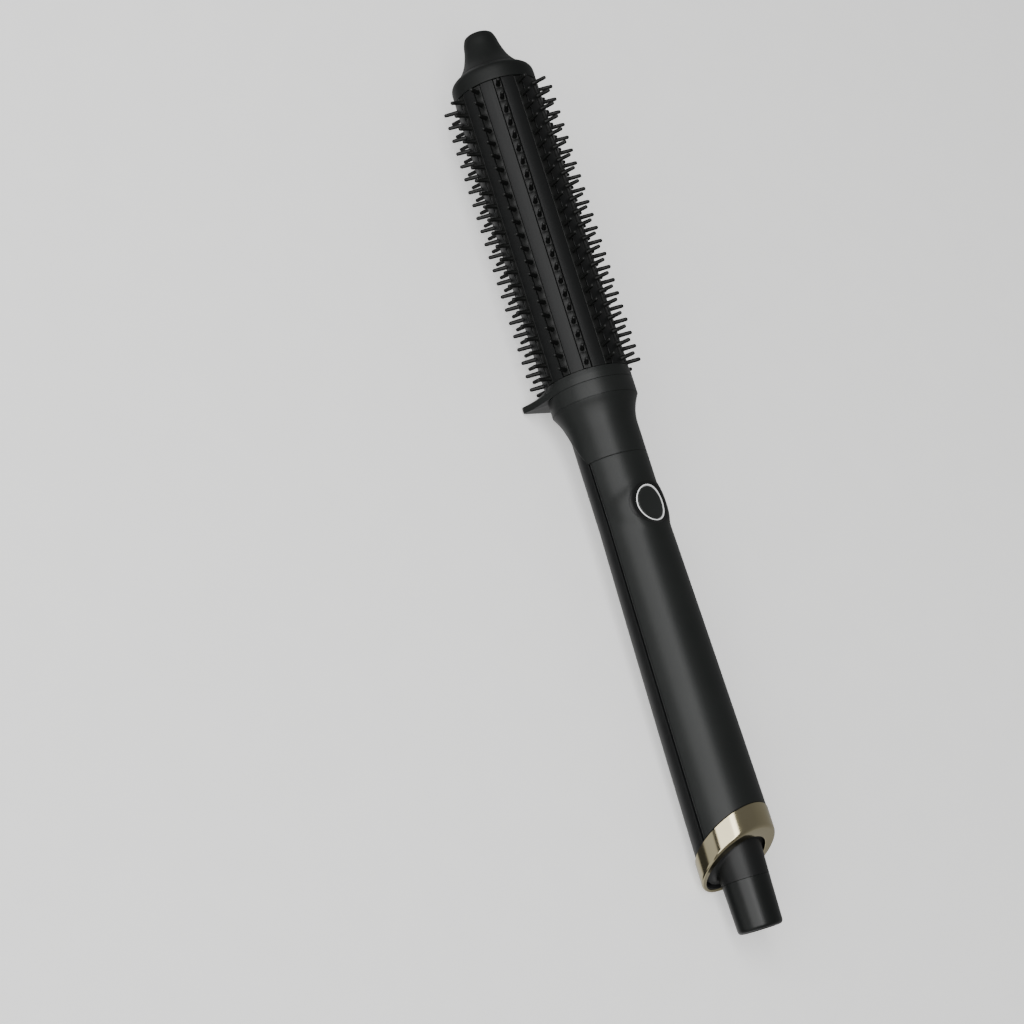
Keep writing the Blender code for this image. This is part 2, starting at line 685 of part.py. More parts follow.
def add_end_cap(brush):
    """The end cap: slanted face behind the ring's lip, fixed neck round the spindle, inner skirt."""
    face = RING_LOW + RING_LIP + GAP
    bore = SPINDLE_RADIUS + GAP
    flange = RING_RADIUS - RING_WALL - GAP
    outline = [(bore, SWIVEL_LENGTH + GAP), (CAP_NECK_RADIUS, SWIVEL_LENGTH + GAP)]
    turn = np.linspace(0, 2 * math.pi, STEPS, endpoint=False)
    fillet = CAP_FILLET + (CAP_BACK_FILLET - CAP_FILLET) * (1 - np.cos(turn)) / 2
    outline += round_corner(CAP_NECK_TOP_RADIUS + fillet, face - fillet, fillet, 180, 90)
    leans = [0] * 2 + [1] * (len(outline) - 2)
    outline += [(flange, face), (flange, RING_TOP), (CAP_RADIUS, RING_TOP)]
    outline += [
        (CAP_RADIUS, SKIRT_TOP),
        (CAP_RADIUS - SKIRT_WALL, SKIRT_TOP),
        (CAP_RADIUS - SKIRT_WALL, CAP_FLOOR),
        (bore, CAP_FLOOR),
    ]
    leans += [1] * 3 + [0] * 4
    rings = turned(outline, lean_shares=leans)
    body("end_cap", skin(rings, True), "dark_plastic", brush)


def add_swivel(brush):
    """The turning sleeve with its spindle, the clip that holds it and the slip rings it carries."""
    groove = SPINDLE_RADIUS - CLIP_DEPTH
    groove_top = CAP_FLOOR + CLIP_THICKNESS + 2 * GAP
    top = SWIVEL_LENGTH + SPINDLE_LENGTH
    outline = [(CORD_BORE_RADIUS, 0.0)]
    outline += round_corner(SWIVEL_RADIUS - SWIVEL_ROUND, SWIVEL_ROUND, SWIVEL_ROUND, -90, 0)
    outline += [
        (SWIVEL_TOP_RADIUS, SWIVEL_LENGTH - GAP),
        (SWIVEL_TOP_RADIUS - GAP, SWIVEL_LENGTH),
        (SPINDLE_RADIUS, SWIVEL_LENGTH),
        (SPINDLE_RADIUS, CAP_FLOOR),
        (groove, CAP_FLOOR),
        (groove, groove_top),
        (SPINDLE_RADIUS, groove_top),
        (SPINDLE_RADIUS, top),
        (LEAD_BORE_RADIUS, top),
        (LEAD_BORE_RADIUS, CORD_BORE_DEPTH),
        (CORD_BORE_RADIUS, CORD_BORE_DEPTH),
    ]
    body("swivel_sleeve", skin(turned(outline, SWIVEL_STEPS), True), "dark_plastic", brush)
    low = CAP_FLOOR + GAP
    inner = groove + GAP
    washer = ((inner, low), (CLIP_RADIUS, low), (CLIP_RADIUS, low + CLIP_THICKNESS), (inner, low + CLIP_THICKNESS))
    body("swivel_clip", skin(turned(washer, FEW_STEPS), True), "steel_plate", brush)
    inner = SPINDLE_RADIUS + GAP
    outer = inner + SLIP_RING_WALL
    for number, name in enumerate(("live", "neutral")):
        low = CAP_FLOOR + SLIP_RING_RISE + number * SLIP_RING_SPACING
        high = low + SLIP_RING_LENGTH
        outline = ((inner, low), (outer, low), (outer, high), (inner, high))
        body(f"slip_ring_{name}", skin(turned(outline, FEW_STEPS), True), "brass_contact", brush)
        side = 1 - 2 * number
        near = outer + GAP
        far = CARRIER_HOLE_RADIUS - GAP
        middle = (low + high) / 2
        ends = sorted((side * near, side * far))
        corner = (-WIPER_WIDTH / 2, ends[0], middle - WIPER_LENGTH / 2)
        opposite = (WIPER_WIDTH / 2, ends[1], middle + WIPER_LENGTH / 2)
        body(f"contact_wiper_{name}", block(corner, opposite), "brass_contact", brush)
    low = CAP_FLOOR + GAP
    outer = CAP_RADIUS - SKIRT_WALL - GAP
    high = low + CONTACT_CARRIER_LENGTH
    inner = CARRIER_HOLE_RADIUS
    outline = ((inner, low), (outer, low), (outer, high), (inner, high))
    body("contact_carrier", skin(turned(outline, FEW_STEPS), True), "dark_plastic", brush)


def add_button_group(brush):
    """The raised bezel, the light ring in it, and the power button that slides inside both."""
    inner = GAP + LIGHT_WIDTH + GAP
    side = inner + BEZEL_WIDTH
    end = inner + BEZEL_END_WIDTH
    crest_side = side - BEZEL_SLOPE_SHARE * BEZEL_WIDTH
    crest_end = end - BEZEL_SLOPE_SHARE * BEZEL_END_WIDTH
    base = BUTTON_FACE - BEZEL_DEPTH
    outline = (
        (side, end, base),
        (side, end, BUTTON_FACE + BUTTON_SINK),
        (crest_side, crest_end, BUTTON_FACE),
        (inner, inner, BUTTON_FACE),
        (inner, inner, base + LEDGE_THICKNESS),
        (LEDGE_CLEARANCE, LEDGE_CLEARANCE, base + LEDGE_THICKNESS),
        (LEDGE_CLEARANCE, LEDGE_CLEARANCE, base),
    )
    shares = [0, BEZEL_CROWN_SHARE, BEZEL_CREST_SHARE, 1, 0, 0, 0]
    rings = oval_rings(outline, crown_shares=shares)
    body("button_bezel", skin(rings, True), "dark_plastic", brush)
    seat = base + LEDGE_THICKNESS + GAP
    face = BUTTON_FACE + LIGHT_PROUD
    outer = GAP + LIGHT_WIDTH
    outline = ((GAP, GAP, seat), (outer, outer, seat), (outer, outer, face), (GAP, GAP, face))
    rings = oval_rings(outline, crown_shares=[0, 0, 1, 1])
    body("light_ring", skin(rings, True), "light_guide", brush)
    place = (BUTTON_BASE, 0.0, BUTTON_HEIGHT)
    outline = (
        (0.0, 0.0, BUTTON_BASE),
        (0.0, 0.0, BUTTON_FACE - BUTTON_EDGE),
        (-BUTTON_EDGE, -BUTTON_EDGE, BUTTON_FACE),
    )
    rings = oval_rings(outline, crown_shares=[0, 1, 1])
    stem = ((BUTTON_BASE - STEM_LENGTH, STEM_RADIUS), (BUTTON_BASE, STEM_RADIUS))
    rings = rod_along_x(stem, BUTTON_HEIGHT, STEPS) + rings
    body("power_button", skin(rings, False), "dark_plastic", brush, place)
    size = (SWITCH_HEIGHT, SWITCH_SIZE, SWITCH_SIZE)
    switch = body("tact_switch", block_on(PART_FACE, size, 0.0, BUTTON_HEIGHT), "dark_plastic", brush)
    well = ((SWITCH_TOP - PLUNGER_HIDDEN - BUTTON_TRAVEL - GAP, PLUNGER_RADIUS + GAP),
            (BUTTON_BASE, PLUNGER_RADIUS + GAP))
    tool = skin(rod_along_x(well, BUTTON_HEIGHT), False)
    shape_with(switch, body("switch_well", tool, "dark_plastic", brush), "DIFFERENCE")
    plunger = ((SWITCH_TOP - PLUNGER_HIDDEN, PLUNGER_RADIUS), (PLUNGER_TOP, PLUNGER_RADIUS))
    place = (SWITCH_TOP, 0.0, BUTTON_HEIGHT)
    rings = rod_along_x(plunger, BUTTON_HEIGHT)
    body("switch_plunger", skin(rings, False), "light_guide", brush, place)


def add_board(brush):
    """The control board with its parts, screwed to the rear shell's posts."""
    low = (BOARD_BACK, -BOARD_WIDTH / 2, BOARD_LOW)
    high = (BOARD_FACE, BOARD_WIDTH / 2, BOARD_TOP)
    board = body("control_board", block(low, high), "board_laminate", brush)
    for name, size, share, look in (
        ("triac", TRIAC_SIZE, TRIAC_DROP_SHARE, "dark_plastic"),
        ("film_capacitor", FILM_CAPACITOR_SIZE, FILM_CAPACITOR_DROP_SHARE, "white_ceramic"),
        ("control_chip", CHIP_SIZE, CHIP_DROP_SHARE, "dark_plastic"),
    ):
        body(name, block_on(PART_FACE, size, 0.0, BOARD_TOP - share * BOARD_LENGTH), look, brush)
    lamp_height = BUTTON_HEIGHT + CAP_HALF_LENGTH
    body("indicator_lamp", block_on(PART_FACE, LAMP_SIZE, 0.0, lamp_height), "light_guide", brush)
    for name, share in zip(("upper", "lower"), SCREW_DROP_SHARES):
        height = BOARD_TOP - share * BOARD_LENGTH
        hole = ((BOARD_BACK - GAP, SCREW_RADIUS + GAP), (PART_FACE, SCREW_RADIUS + GAP))
        tool = body(f"board_hole_{name}", skin(rod_along_x(hole, height), False), "board_laminate", brush)
        shape_with(board, tool, "DIFFERENCE")
        outline = (
            (PART_FACE + SCREW_HEAD_HEIGHT, SCREW_HEAD_RADIUS),
            (PART_FACE, SCREW_HEAD_RADIUS),
            (PART_FACE, SCREW_RADIUS),
            (PART_FACE - SCREW_LENGTH, SCREW_RADIUS),
        )
        body(f"board_screw_{name}", skin(rod_along_x(outline, height), False), "steel_plate", brush)


def lead_surface(path):
    """A round lead through (x, y, z) points that climb along Z."""
    turn = np.linspace(0, 2 * math.pi, LEAD_SIDES, endpoint=False)
    rings = []
    for x, y, z in path:
        across = x + LEAD_RADIUS * np.cos(turn)
        rings.append(np.column_stack((across, y + LEAD_RADIUS * np.sin(turn), np.full(LEAD_SIDES, z))))
    return skin(rings, False)


def add_leads(brush):
    """Two supply leads from the contact carrier to the board, two from the board to the heater."""
    over_board = PART_FACE + LEAD_RADIUS
    over_heater = HEATER_THICKNESS / 2 + GAP + LEAD_RADIUS
    start = CAP_FLOOR + 2 * GAP + CONTACT_CARRIER_LENGTH
    end = BOARD_LOW + SUPPLY_LEAD_LAP
    heater_start = BOARD_TOP - HEATER_LEAD_LAP
    heater_end = SPREADER_LOW - HEATER_TAIL + HEATER_LEAD_TAIL
    bend_low = BOARD_TOP + LEAD_RADIUS
    bend_high = SPREADER_LOW - HEATER_TAIL - LEAD_RADIUS
    for side, name in ((1, "live"), (-1, "neutral")):
        y = side * SUPPLY_LEAD_OFFSET
        path = [(over_board, y, start), (over_board, y, end)]
        body(f"supply_lead_{name}", lead_surface(path), "lead_insulation", brush)
        y = side * HEATER_LEAD_OFFSET
        path = [(over_board, y, heater_start)]
        for share in np.linspace(0, 1, LEAD_BEND_RINGS):
            ease = share * share * (3 - 2 * share)
            x = over_board + ease * (over_heater - over_board)
            path.append((x, y, bend_low + share * (bend_high - bend_low)))
        path.append((over_heater, y, heater_end))
        body(f"heater_lead_{name}", lead_surface(path), "lead_insulation", brush)


def resting_lean():
    """The axis's lean when the brush lies on its foot's flat and the back of its end ring."""
    middle = COLLAR_LOW + GAP + FOOT_RIM / 2 + FOOT_RISE
    heel = round_corner(RING_RADIUS - RING_ROUND, RING_LOW + RING_ROUND, RING_ROUND, -90, 0)
    slopes = []
    for radius, height in heel + [(RING_RADIUS, RING_TOP)]:
        level = height - SLANT_RISE_SHARE * radius
        slopes.append((FOOT_REACH - radius) / (middle - level))
    return math.atan(min(slopes))


def lay_down(brush, lean):
    """Turn the brush onto its foot, tip towards -X and button up, centred over the ground."""
    c, s = math.cos(lean), math.sin(lean)
    brush.matrix_world = Matrix(((s, 0, -c, 0), (0, 1, 0, 0), (c, 0, s, 0), (0, 0, 0, 1)))
    bpy.context.view_layer.update()
    corners = []
    for item in brush.children:
        if not item.hide_render:
            corners += [item.matrix_world @ vertex.co for vertex in item.data.vertices]
    corners = np.array(corners)
    middle = (corners.min(axis=0) + corners.max(axis=0)) / 2
    shift = (-middle[0], -middle[1], -corners[:, 2].min())
    brush.matrix_world = Matrix.Translation(shift) @ brush.matrix_world


def build():
    """Make every piece along the brush's axis, then lay the brush down."""
    clear_scene()
    brush = bpy.data.objects.new("brush", None)
    bpy.context.scene.collection.objects.link(brush)
    lean = resting_lean()
    add_swivel(brush)
    add_end_cap(brush)
    add_end_ring(brush)
    add_front_shell(brush)
    add_rear_shell(brush)
    add_neck_cover(brush)
    add_neck_band(brush)
    add_foot_collar(brush, lean)
    add_barrel_carrier(brush)
    add_barrel_shell(brush)
    add_bristle_strips(brush)
    add_cool_tip(brush)
    add_heater(brush)
    add_button_group(brush)
    add_board(brush)
    add_leads(brush)
    lay_down(brush, lean)


build()
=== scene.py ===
"""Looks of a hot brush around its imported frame.

Every visible shell is a numpy surface worked out in the brush's own axes, in millimetres: Z runs
from the cord end to the cool tip, X points to the button. The surface is then placed in the frame.
The pieces inside keep their solids and get the finish of their real material.
"""
from __future__ import annotations

import json
import logging
import math
from dataclasses import dataclass
from enum import Enum

import bmesh
import bpy
import numpy as np
from mathutils import Matrix, Vector


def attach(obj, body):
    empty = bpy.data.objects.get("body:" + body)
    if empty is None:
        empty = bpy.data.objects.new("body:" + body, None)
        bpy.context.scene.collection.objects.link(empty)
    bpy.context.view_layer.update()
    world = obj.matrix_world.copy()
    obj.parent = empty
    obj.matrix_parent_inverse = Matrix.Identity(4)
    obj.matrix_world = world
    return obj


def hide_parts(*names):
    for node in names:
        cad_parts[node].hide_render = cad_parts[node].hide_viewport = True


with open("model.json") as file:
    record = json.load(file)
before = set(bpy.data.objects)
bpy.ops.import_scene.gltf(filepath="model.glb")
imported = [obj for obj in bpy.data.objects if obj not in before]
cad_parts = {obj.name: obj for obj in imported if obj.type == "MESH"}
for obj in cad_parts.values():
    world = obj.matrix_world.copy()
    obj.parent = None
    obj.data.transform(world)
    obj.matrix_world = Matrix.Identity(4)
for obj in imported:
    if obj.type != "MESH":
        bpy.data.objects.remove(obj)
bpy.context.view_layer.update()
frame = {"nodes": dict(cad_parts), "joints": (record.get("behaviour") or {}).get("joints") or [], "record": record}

log = logging.getLogger("hot_brush")
MM = 0.001
GAP = 0.3
FINE_GAP = 0.06


def linear(code: str) -> tuple[float, float, float, float]:
    """Turn an sRGB hex colour to linear.

    Args:
        code: six hex digits after a hash sign.

    Returns:
        Linear red, green, blue and an alpha of 1.
    """
    parts = [int(code[place:place + 2], 16) / 255 for place in (1, 3, 5)]
    curved = [c / 12.92 if c <= 0.04045 else ((c + 0.055) / 1.055) ** 2.4 for c in parts]
    return (*curved, 1.0)


def unit(vector: np.ndarray) -> np.ndarray:
    """The vector at length one."""
    return np.asarray(vector, float) / np.linalg.norm(vector)


def full_turn(steps: int) -> np.ndarray:
    """Equal angles once round, the first at zero and the last one step short of it."""
    return np.linspace(0, 2 * math.pi, steps, endpoint=False)


def smooth_step(share: np.ndarray) -> np.ndarray:
    """A rise from 0 to 1 that starts and ends level: s^2 (3 - 2 s)."""
    return share * share * (3 - 2 * share)


def add_object(name: str, data: bpy.types.ID) -> bpy.types.Object:
    """A new object in the scene with its data."""
    item = bpy.data.objects.new(name, data)
    bpy.context.scene.collection.objects.link(item)
    return item


@dataclass(frozen=True)
class BrushAxes:
    """The brush's own axes in the frame, read from its joints.

    The swivel turns about the brush's axis and the button slides towards it, so those two joints
    give Z and X, and Y is their cross product.
    """

    origin: np.ndarray
    turn: np.ndarray

    @classmethod
    def from_joints(cls, joints: list[dict]) -> BrushAxes:
        """Read the axes.

        Args:
            joints: the frame's joints.

        Returns:
            The axes, with one column of turn for each of X, Y and Z.
        """
        by_name = {joint["name"]: joint for joint in joints}
        up = -unit(by_name["swivel_turn"]["axis"])
        front = -unit(by_name["button_press"]["axis"])
        side = np.cross(up, front)
        origin = np.asarray(by_name["swivel_turn"]["pos_m"], float)
        return cls(origin, np.column_stack((front, side, up)))

    def place(self, points: np.ndarray) -> np.ndarray:
        """Points in millimetres on the brush's axes, as places in the frame in metres."""
        return self.origin + (np.asarray(points) * MM) @ self.turn.T

    def direction(self, vector: np.ndarray) -> np.ndarray:
        """A direction on the brush's axes, as one in the frame."""
        return self.turn @ np.asarray(vector, float)


AXES = BrushAxes.from_joints(frame["joints"])
SLOTS = {row["node"]: row["material_slot"] for row in frame["record"]["subparts"]}
BODIES = {node: body for body, nodes in frame["record"]["behaviour"]["bodies"].items() for node in nodes}


class Pattern(Enum):
    """The mark that making left on a surface."""

    MOULDED = "moulded"
    DRAWN = "drawn"
    POLISHED = "polished"
    WOVEN = "woven"
    FIRED = "fired"


def add_node(tree: bpy.types.NodeTree, kind: str, settings: dict | None = None,
             links: dict | None = None, **attributes: object) -> bpy.types.Node:
    """Add a node with its settings and links.

    Args:
        tree: the material's node tree.
        kind: Blender's name of the node type.
        settings: values by input name or number.
        links: output sockets by the input name or number that they feed.
        attributes: the node's own properties.

    Returns:
        The new node.
    """
    node = tree.nodes.new(kind)
    for name, value in attributes.items():
        setattr(node, name, value)
    for name, value in (settings or {}).items():
        node.inputs[name].default_value = value
    for name, socket in (links or {}).items():
        tree.links.new(socket, node.inputs[name])
    return node


@dataclass(frozen=True)
class Finish:
    """A surface finish, named for its real material and how it was made.

    Colours are sRGB hex values. Patch and grain are the real sizes in millimetres of the broad
    cloudiness and of the fine mark; relief is the height of the fine mark in micrometres. A span is
    the part of a noise's range that is spread over the whole effect.
    """

    name: str
    colour: str
    patch_colour: str
    roughness: float
    pattern: Pattern = Pattern.MOULDED
    metallic: float = 0.0
    roughness_span: float = 0.05
    patch: float = 14.0
    grain: float = 0.35
    relief: float = 6.0
    ior: float = 1.5
    coat: float = 0.0
    coat_roughness: float = 0.1
    glow: float = 0.0
    stretch: float = 40.0
    patch_span: tuple[float, float] = (0.35, 0.65)
    mark_span: tuple[float, float] = (0.2, 0.8)
    patch_detail: float = 4.0
    mark_detail: float = 3.0

    def coordinates(self, tree: bpy.types.NodeTree) -> bpy.types.NodeSocket:
        """Object coordinates turned to the brush's axes, in metres.

        A drawn mark is squeezed along the axis, so that its lines run lengthways.
        """
        place = add_node(tree, "ShaderNodeTexCoord").outputs["Object"]
        back = Matrix(AXES.turn.T.tolist())
        shift = -(back @ Vector(AXES.origin))
        turned = add_node(tree, "ShaderNodeMapping", {"Rotation": back.to_euler(), "Location": shift},
                          {"Vector": place})
        if self.pattern is not Pattern.DRAWN:
            return turned.outputs["Vector"]
        squeeze = (1.0, 1.0, 1.0 / self.stretch)
        drawn = add_node(tree, "ShaderNodeMapping", {"Scale": squeeze},
                         {"Vector": turned.outputs["Vector"]})
        return drawn.outputs["Vector"]

    def fine_mark(self, tree: bpy.types.NodeTree, place: bpy.types.NodeSocket) -> bpy.types.NodeSocket:
        """The fine mark's height from 0 to 1: noise, cells of fired grains, or crossing threads."""
        scale = 1.0 / (self.grain * MM)
        if self.pattern is Pattern.FIRED:
            cells = add_node(tree, "ShaderNodeTexVoronoi", {"Scale": scale}, {"Vector": place})
            return cells.outputs["Distance"]
        if self.pattern is Pattern.WOVEN:
            threads = [
                add_node(tree, "ShaderNodeTexWave", {"Scale": scale / (2 * math.pi)}, {"Vector": place},
                         bands_direction=way)
                for way in ("Y", "Z")
            ]
            pair = {0: threads[0].outputs[1], 1: threads[1].outputs[1]}
            cloth = add_node(tree, "ShaderNodeMath", {}, pair, operation="MULTIPLY")
            return cloth.outputs[0]
        noise = add_node(tree, "ShaderNodeTexNoise", {"Scale": scale, "Detail": self.mark_detail},
                         {"Vector": place})
        return noise.outputs[0]

    def build(self) -> bpy.types.Material:
        """Make the material: patches mix two close colours, the fine mark moves roughness and relief."""
        material = bpy.data.materials.new(self.name)
        material.use_nodes = True
        tree = material.node_tree
        shader = tree.nodes["Principled BSDF"]
        place = self.coordinates(tree)
        mark = self.fine_mark(tree, place)
        cloud = {"Scale": 1.0 / (self.patch * MM), "Detail": self.patch_detail}
        broad = add_node(tree, "ShaderNodeTexNoise", cloud, {"Vector": place})
        patches = add_node(tree, "ShaderNodeMapRange", dict(zip((1, 2), self.patch_span)),
                           {0: broad.outputs[0]})
        tint = add_node(tree, "ShaderNodeMix", {6: linear(self.colour), 7: linear(self.patch_colour)},
                        {0: patches.outputs[0]}, data_type="RGBA")
        low = self.roughness - self.roughness_span
        high = self.roughness + self.roughness_span
        spread = dict(zip((1, 2, 3, 4), (*self.mark_span, low, high)))
        gloss = add_node(tree, "ShaderNodeMapRange", spread, {0: mark})
        relief = add_node(tree, "ShaderNodeBump", {"Strength": 1.0, "Distance": self.relief * MM * MM},
                          {"Height": mark})
        tree.links.new(tint.outputs[2], shader.inputs["Base Color"])
        tree.links.new(gloss.outputs[0], shader.inputs["Roughness"])
        tree.links.new(relief.outputs[0], shader.inputs["Normal"])
        shader.inputs["Metallic"].default_value = self.metallic
        shader.inputs["Coat Weight"].default_value = self.coat
        shader.inputs["Coat Roughness"].default_value = self.coat_roughness
        if not self.metallic:
            shader.inputs["IOR"].default_value = self.ior
        # Glow: the floor card's even brightness, and painted light on the unlit light ring
        if self.glow:
            shader.inputs["Emission Color"].default_value = linear(self.colour)
            shader.inputs["Emission Strength"].default_value = self.glow
        return material


class FinishRack:
    """Every finish of the brush, each material made once when it is first asked for."""

    def __init__(self) -> None:
        """Lay out the finishes."""
        self.made: dict[str, bpy.types.Material] = {}
        self.finishes = {
            # Soft-touch lacquer over moulded ABS: a wide, soft highlight on charcoal
            "charcoal_plastic": Finish("soft_touch_abs", "#161817", "#191b1a", 0.42, ior=1.38),
            # Glass-filled nylon of the cool tip: the same charcoal with its colour darkened as painted shade where
            # the tip is less lit, and more matt
            "tip_nylon_painted_shade": Finish("heat_proof_nylon_painted_shade", "#101211", "#131514", 0.50, ior=1.30),
            # Moulded ABS of the button: satin, a little lighter than its bezel
            "button_abs": Finish("satin_button_abs", "#1c1e1d", "#1f2120", 0.40, ior=1.40),
            # Moulded ABS left bare: darker and a little flatter
            "dark_plastic": Finish("moulded_abs", "#101111", "#131414", 0.42, ior=1.38),
            # Thermoplastic rubber of the turning sleeve: satin with a narrow highlight
            "swivel_plastic": Finish("satin_tpe", "#0e100f", "#111312", 0.34, grain=0.5, ior=1.40),
            # Glass-filled nylon of the inner holders: grainy and matt
            "inner_plastic": Finish("glass_filled_nylon", "#202020", "#2a2a29", 0.55, relief=14.0),
            # Baked ceramic coating on extruded aluminium: satin black, faint lines along the barrel
            "satin_black_coating": Finish("baked_ceramic_coat", "#0d0e0e", "#101111", 0.40,
                                          Pattern.DRAWN, grain=0.4, relief=3.0, ior=1.31),
            # Moulded nylon of the bristles: smooth, with a small bright highlight
            "bristle_nylon": Finish("bristle_nylon_66", "#0a0b0a", "#0d0e0d", 0.44, grain=0.25, relief=1.0,
                                    ior=1.36),
            # Polished zinc with a pale gold vacuum coat: mirror-like, warm grey in the shade
            "champagne_metal": Finish("pale_gold_pvd_zinc", "#c5bb9b", "#beb493", 0.13, Pattern.POLISHED,
                                      metallic=1.0, roughness_span=0.02, grain=1.2, relief=0.8),
            # Frosted acrylic light guide, unlit: its glow is painted light that stands in for the light it catches
            # from its surroundings
            "light_guide": Finish("frosted_acrylic_painted_glow", "#eceded", "#e2e3e3", 0.30, grain=0.3, relief=3.0,
                                  glow=0.35),
            # Extruded aluminium: die lines along the profile
            "bare_aluminium": Finish("extruded_aluminium", "#c8cacc", "#b9bbbe", 0.34, Pattern.DRAWN,
                                     metallic=1.0, grain=0.3),
            # Turned brass contacts
            "brass_contact": Finish("turned_brass", "#d9b866", "#c9a553", 0.25, Pattern.POLISHED,
                                    metallic=1.0, grain=0.3, relief=2.0),
            # Zinc-plated steel
            "steel_plate": Finish("zinc_plated_steel", "#c4c6c8", "#b2b5b9", 0.30, Pattern.FIRED,
                                  metallic=1.0, grain=0.6, relief=2.0),
            # Fired alumina: chalky white grains
            "white_ceramic": Finish("fired_alumina", "#e6e3dc", "#dcd8cf", 0.60, Pattern.FIRED, grain=0.4),
            # Film capacitor's filled polyester box
            "capacitor_film": Finish("polyester_box", "#c79a3c", "#b98c32", 0.38),
            # Solder mask over woven glass laminate
            "board_laminate": Finish("glass_epoxy_laminate", "#1f5a3b", "#1a4f34", 0.35, Pattern.WOVEN,
                                     grain=0.9, relief=8.0, coat=0.3),
            # Silicone insulation of the leads
            "lead_insulation": Finish("silicone_rubber", "#b9b7ae", "#aeaca3", 0.55, relief=8.0),
        }

    def get(self, slot: str) -> bpy.types.Material:
        """The material of a record slot."""
        if slot not in self.made:
            self.made[slot] = self.finishes[slot].build()
        return self.made[slot]


RACK = FinishRack()


@dataclass
class Skin:
    """Points in millimetres on the brush's axes, and faces over them."""

    points: np.ndarray
    faces: list[list[int]]

    def joined(self, other: Skin) -> Skin:
        """This skin and another as one."""
        shift = len(self.points)
        moved = [[corner + shift for corner in face] for face in other.faces]
        return Skin(np.vstack((self.points, other.points)), self.faces + moved)


def grid_skin(grid: np.ndarray, wrap_rows: bool = False) -> Skin:
    """Quads over a grid whose columns close round; open rows are capped with a fan at each end.

    Args:
        grid: rows by columns by three.
        wrap_rows: join the last row to the first instead of capping.

    Returns:
        A closed skin.
    """
    rows, columns = grid.shape[:2]
    index = np.arange(rows * columns).reshape(rows, columns)
    upper = np.roll(index, -1, axis=0) if wrap_rows else index[1:]
    lower = index if wrap_rows else index[:-1]
    quads = np.stack((lower, np.roll(lower, -1, 1), np.roll(upper, -1, 1), upper), axis=-1)
    points = grid.reshape(-1, 3)
    faces = quads.reshape(-1, 4).tolist()
    if not wrap_rows:
        points = np.vstack((points, grid[0].mean(axis=0), grid[-1].mean(axis=0)))
        for row, centre in ((index[0], len(points) - 2), (index[-1], len(points) - 1)):
            fan = np.column_stack((row, np.roll(row, -1), np.full(columns, centre)))
            faces.extend(fan.tolist())
    return Skin(points, faces)


def rounded(outline: list[tuple[float, float, float]], points: int = 5) -> np.ndarray:
    """Round the corners of a closed outline.

    Each corner of (x, y, size) becomes a quadratic curve that starts and ends that size away along
    its two sides: (1-t)^2 start + 2t(1-t) corner + t^2 end.

    Args:
        outline: corners with the size of their rounding.
        points: points on each rounded corner.

    Returns:
        Points of the rounded outline, corner after corner.
    """
    corners = np.array(outline, float)
    here = corners[:, :2]
    size = corners[:, 2:3]
    before = np.roll(here, 1, axis=0) - here
    after = np.roll(here, -1, axis=0) - here
    start = here + before / np.linalg.norm(before, axis=1, keepdims=True) * size
    end = here + after / np.linalg.norm(after, axis=1, keepdims=True) * size
    t = np.linspace(0, 1, points)[None, :, None]
    curve = (1 - t) ** 2 * start[:, None] + 2 * t * (1 - t) * here[:, None] + t ** 2 * end[:, None]
    return curve.reshape(-1, 2)


def smooth_line(points: tuple[tuple[float, float], ...], samples: int) -> np.ndarray:
    """A Catmull-Rom curve through points: cubic between neighbours, with their chords as tangents."""
    given = np.array(points, float)
    padded = np.vstack((2 * given[0] - given[1], given, 2 * given[-1] - given[-2]))
    place = np.linspace(0, len(given) - 1, samples)
    left = np.minimum(place.astype(int), len(given) - 2)
    t = (place - left)[:, None]
    a, b, c, d = (padded[left + step] for step in range(4))
    return b + t / 2 * (c - a + t * (2 * a - 5 * b + 4 * c - d + t * (3 * (b - c) + d - a)))


def lathe(outline: np.ndarray, steps: int = 180, lean: np.ndarray | float = 0.0) -> np.ndarray:
    """Turn an outline of (radius, height) about Z.

    x = r cos t, y = r sin t, z = h + lean * r cos t, where lean tilts that point's ring.

    Args:
        outline: points of the outline.
        steps: columns round the axis.
        lean: rise per radius towards the button, for all points or for each.

    Returns:
        A grid with a row for each outline point.
    """
    t = full_turn(steps)
    radius = outline[:, :1]
    height = outline[:, 1:2] + np.reshape(lean * np.ones(len(outline)), (-1, 1)) * radius * np.cos(t)
    return np.stack((radius * np.cos(t), radius * np.sin(t), height), axis=-1)


def edge_drop(distance: np.ndarray, size: np.ndarray | float,
              depth: np.ndarray | float | None = None) -> np.ndarray:
    """How far a rounded edge falls at a distance from it.

    The fall is depth (1 - sqrt(1 - u^2)), with u = 1 - distance / size: a quarter circle where depth
    and size are equal, else a quarter ellipse.
    """
    depth = size if depth is None else depth
    inside = np.clip(1 - distance / size, 0, 1)
    return depth * (1 - np.sqrt(1 - inside ** 2))


def clustered(length: float, edge: float, middle: int, near: int = 7) -> np.ndarray:
    """Places from 0 to length, close together within an edge of both ends."""
    ends = edge * (1 - np.cos(np.linspace(0, math.pi / 2, near)))
    inner = np.linspace(edge, length - edge, middle)
    return np.concatenate((ends[:-1], inner, (length - ends[:-1])[::-1]))


